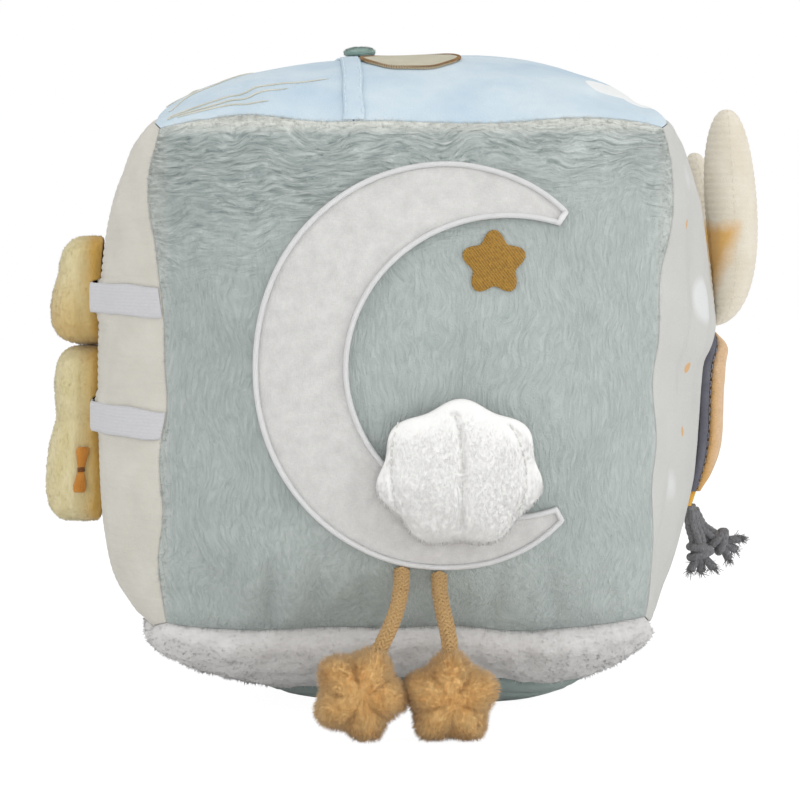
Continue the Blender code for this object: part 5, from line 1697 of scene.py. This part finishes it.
def make_pendant():
    s, t = np.meshgrid(np.linspace(-1, 1, 49), np.linspace(-1, 1, 111))
    half = pendant_half(t)
    across, along = PENDANT_Y + s * half, PENDANT_TOP - PENDANT_LENGTH / 2 + t * PENDANT_LENGTH / 2
    full = np.sqrt((1 - s**4) * (1 - t**6))
    slate = felt("slate_felt", "5A5A64", "7E7E88")

    def thinned(place):
        sewn = 0.72 * np.clip((place - 0.72) / 0.28, 0, 1) ** 2
        return 1 - sewn - 0.38 * np.clip((-place - 0.2) / 0.8, 0, 1) ** 2

    flare = PENDANT_FLARE * s**4
    lift = SEAM_GAP + PENDANT_BACK * (0.75 + 0.25 * full) * thinned(t)
    form = laid_on("right", across, along, lift + flare, SEAM_GAP + flare)
    sew("slate_backing", form, slate, "pendant", ["pendant_back"])
    cotton, where = cloth("mustard_cotton", 0.85, 0.25)
    thread = grain(where, 0.0005)
    cloudy = grain(where, (0.004, 0.004, 0.012))
    outward = part_of(where, 0)
    # Painted highlight: the padded front turns a paler peach (E0BE98) where it stands out furthest, on the
    # crown of its padding.
    painted_crown_highlight = ramp(outward + cloudy * 0.0015, 0.0968, 0.1000)
    tone = mixed(cloudy * 0.6 + thread * 0.4, "D2A05A", "E0B274")
    finish(cotton, mixed(painted_crown_highlight, tone, "E0BE98"), weave(where, 1, 2, 0.0008) + thread, 0.00015)
    across = PENDANT_Y + s * half * 0.90
    ripple = PENDANT_RIPPLE * np.sin(along * 2 * math.pi / PENDANT_RIPPLE_PITCH) * np.abs(s) ** 6
    padded = (PENDANT_PAD_START + PENDANT_RIM + PENDANT_PADDING * full + ripple) * thinned(t)
    form = laid_on("right", across, along, padded + flare, PENDANT_PAD_START * thinned(t) + flare)
    sew("mustard_pad", form, cotton, "pendant", ["pendant_front"])
    sewing = one_colour("slate_thread", "8C8C94", 0.7, 0.2)
    rows = []
    for side in (-1, 1):
        down = np.linspace(-0.94, 0.94, 80)
        wide = pendant_half(down) * 0.955
        place = PENDANT_TOP - PENDANT_LENGTH / 2 + down * PENDANT_LENGTH / 2
        stand = SEAM_GAP + PENDANT_BACK * thinned(down) + 0.0006
        run = on_cloth("right", PENDANT_Y + side * wide, place, stand)
        rows.append(stitches(run, (1, 0, 0), length=0.0018, gap=0.0009))
    sew("pendant_stitches", joined(rows), sewing, "pendant")
    yellow, where = cloth("yellow_cotton", 0.85, 0.2)
    thread = grain(where, 0.0005)
    finish(yellow, mixed(thread, "D99A2E", "EDB950"), thread, 0.0002)
    s, t = np.meshgrid(np.linspace(-1, 1, 13), np.linspace(-1, 1, 25))
    along = PENDANT_TOP - PENDANT_LENGTH - PENDANT_TAB[1] * (1 - t) / 2 + 0.0004
    lift = SEAM_GAP + 0.0003 + 0.0003 * (1 + t)
    thick = PENDANT_TAB[2] * (1 - 0.5 * s**6)
    form = laid_on("right", PENDANT_Y + s * PENDANT_TAB[0], along, lift + thick, lift)
    sew("yellow_tab", form, yellow, "pendant", ["pendant_tab"])


make_pendant()

# Tassel: two grey cotton cords from under the tab, each of three soft yarns side by side, bound by a
# knot and frayed into thick tufts below it.
TASSEL_RISE = 0.0570
TASSEL_CORDS = {
    "long": ((0.0, -0.0012, 0.0), (0.0014, -0.0013, -0.006), (0.0034, -0.0016, -0.0125)),
    "short": ((0.0020, 0.0020, -0.002), (0.0046, 0.0028, -0.008), (0.0102, 0.0040, -0.0096)),
}
TASSEL_WAYS = {"long": (0.10, 0, -1), "short": (0.9, 0.1, -0.50)}
KNOT_WRAPS = ((-0.0010, 0.0031, 0.25), (0.0010, 0.0033, -0.2))
KNOT_RADIUS = 0.0026
YARN_RADIUS, HAIR_RADIUS = 0.00115, 0.00016
TAILS, HAIRS_PER_TAIL = 3, 85


def make_tassel():
    grey, where = cloth("grey_cotton_cord", 0.95, 0.2)
    ply = grain(where, (0.0004, 0.0004, 0.0009), 3.0, 0.5)
    finish(grey, mixed(ply, "5E5E60", "949497"), ply, 0.0003)
    top = on_cloth("right", PENDANT_Y, TASSEL_RISE - BLOCK_MIDDLE[2], 0.0024)
    rng = np.random.RandomState(41)
    for name, corners in TASSEL_CORDS.items():
        corners = np.array(corners) + top
        way = np.array(TASSEL_WAYS[name], float)
        way /= np.linalg.norm(way)
        knot = corners[2]
        side = np.cross(way, (0.0, 1.0, 0.0))
        side /= np.linalg.norm(side)
        deep = np.cross(way, side)
        parts = []
        start = corners[0] + np.array((0, 0, 0.0020))
        for yarn in (-1, 0, 1):
            apart = side * yarn * 0.0016 + deep * 0.0007 * (1 - 2 * abs(yarn))
            into, through = knot - way * 0.003 + apart, knot + way * 0.002 + apart
            line = bezier((start + apart * 0.5, corners[1] + apart, into, through), 40)
            twist = np.sin(np.linspace(0, 14, 40))[:, None] * 0.00012
            uneven = YARN_RADIUS * (1 + 0.08 * np.sin(np.linspace(0, 60, 40)))
            parts.append(tube(line + side * twist, uneven, 12))
        for wrap, (along_way, wide, tilt) in enumerate(KNOT_WRAPS):
            turn = full_turn(44)[:, None]
            ring = knot + way * along_way + (way * tilt + side) * wide * np.cos(turn)
            ring = ring + deep * wide * 0.72 * np.sin(turn)
            uneven = YARN_RADIUS * (1.08 + 0.06 * np.sin(turn[:, 0] * 9 + wrap))
            parts.append(tube(ring, uneven, 12, closed=True))
        parts.append(tube(np.stack((knot - way * 0.002, knot, knot + way * 0.002)), KNOT_RADIUS, 12))
        for tail in range(TAILS):
            splay = (side * (tail - 1) * 0.55 + deep * (0.25 - 0.5 * (tail % 2)) + way) / 1.1
            root = knot + way * 0.0014 + side * (tail - 1) * 0.0013
            tip = root + splay * (0.0046 + 0.0008 * (tail % 2))
            line = bezier((root, root + way * 0.0014, tip - splay * 0.002, tip), 16)
            parts.append(tube(line, np.linspace(YARN_RADIUS, YARN_RADIUS * 1.25, 16), 10))
            for _ in range(HAIRS_PER_TAIL):
                out = splay + rng.normal(0, 0.42, 3)
                out /= np.linalg.norm(out)
                base = root + (tip - root) * rng.uniform(0.35, 1.0) + rng.normal(0, 0.0004, 3)
                length = rng.uniform(0.0016, 0.0031)
                end = base + out * length + rng.normal(0, 0.0003, 3)
                hair = bezier((base, base + splay * 0.0008, base + out * length * 0.6, end), 5)
                parts.append(tube(hair, np.linspace(HAIR_RADIUS, 0.00007, 5), 4))
        node = "tassel_cord_" + name
        sew("knotted_cord_" + name, joined(parts), grey, "tassel", [node])


make_tassel()
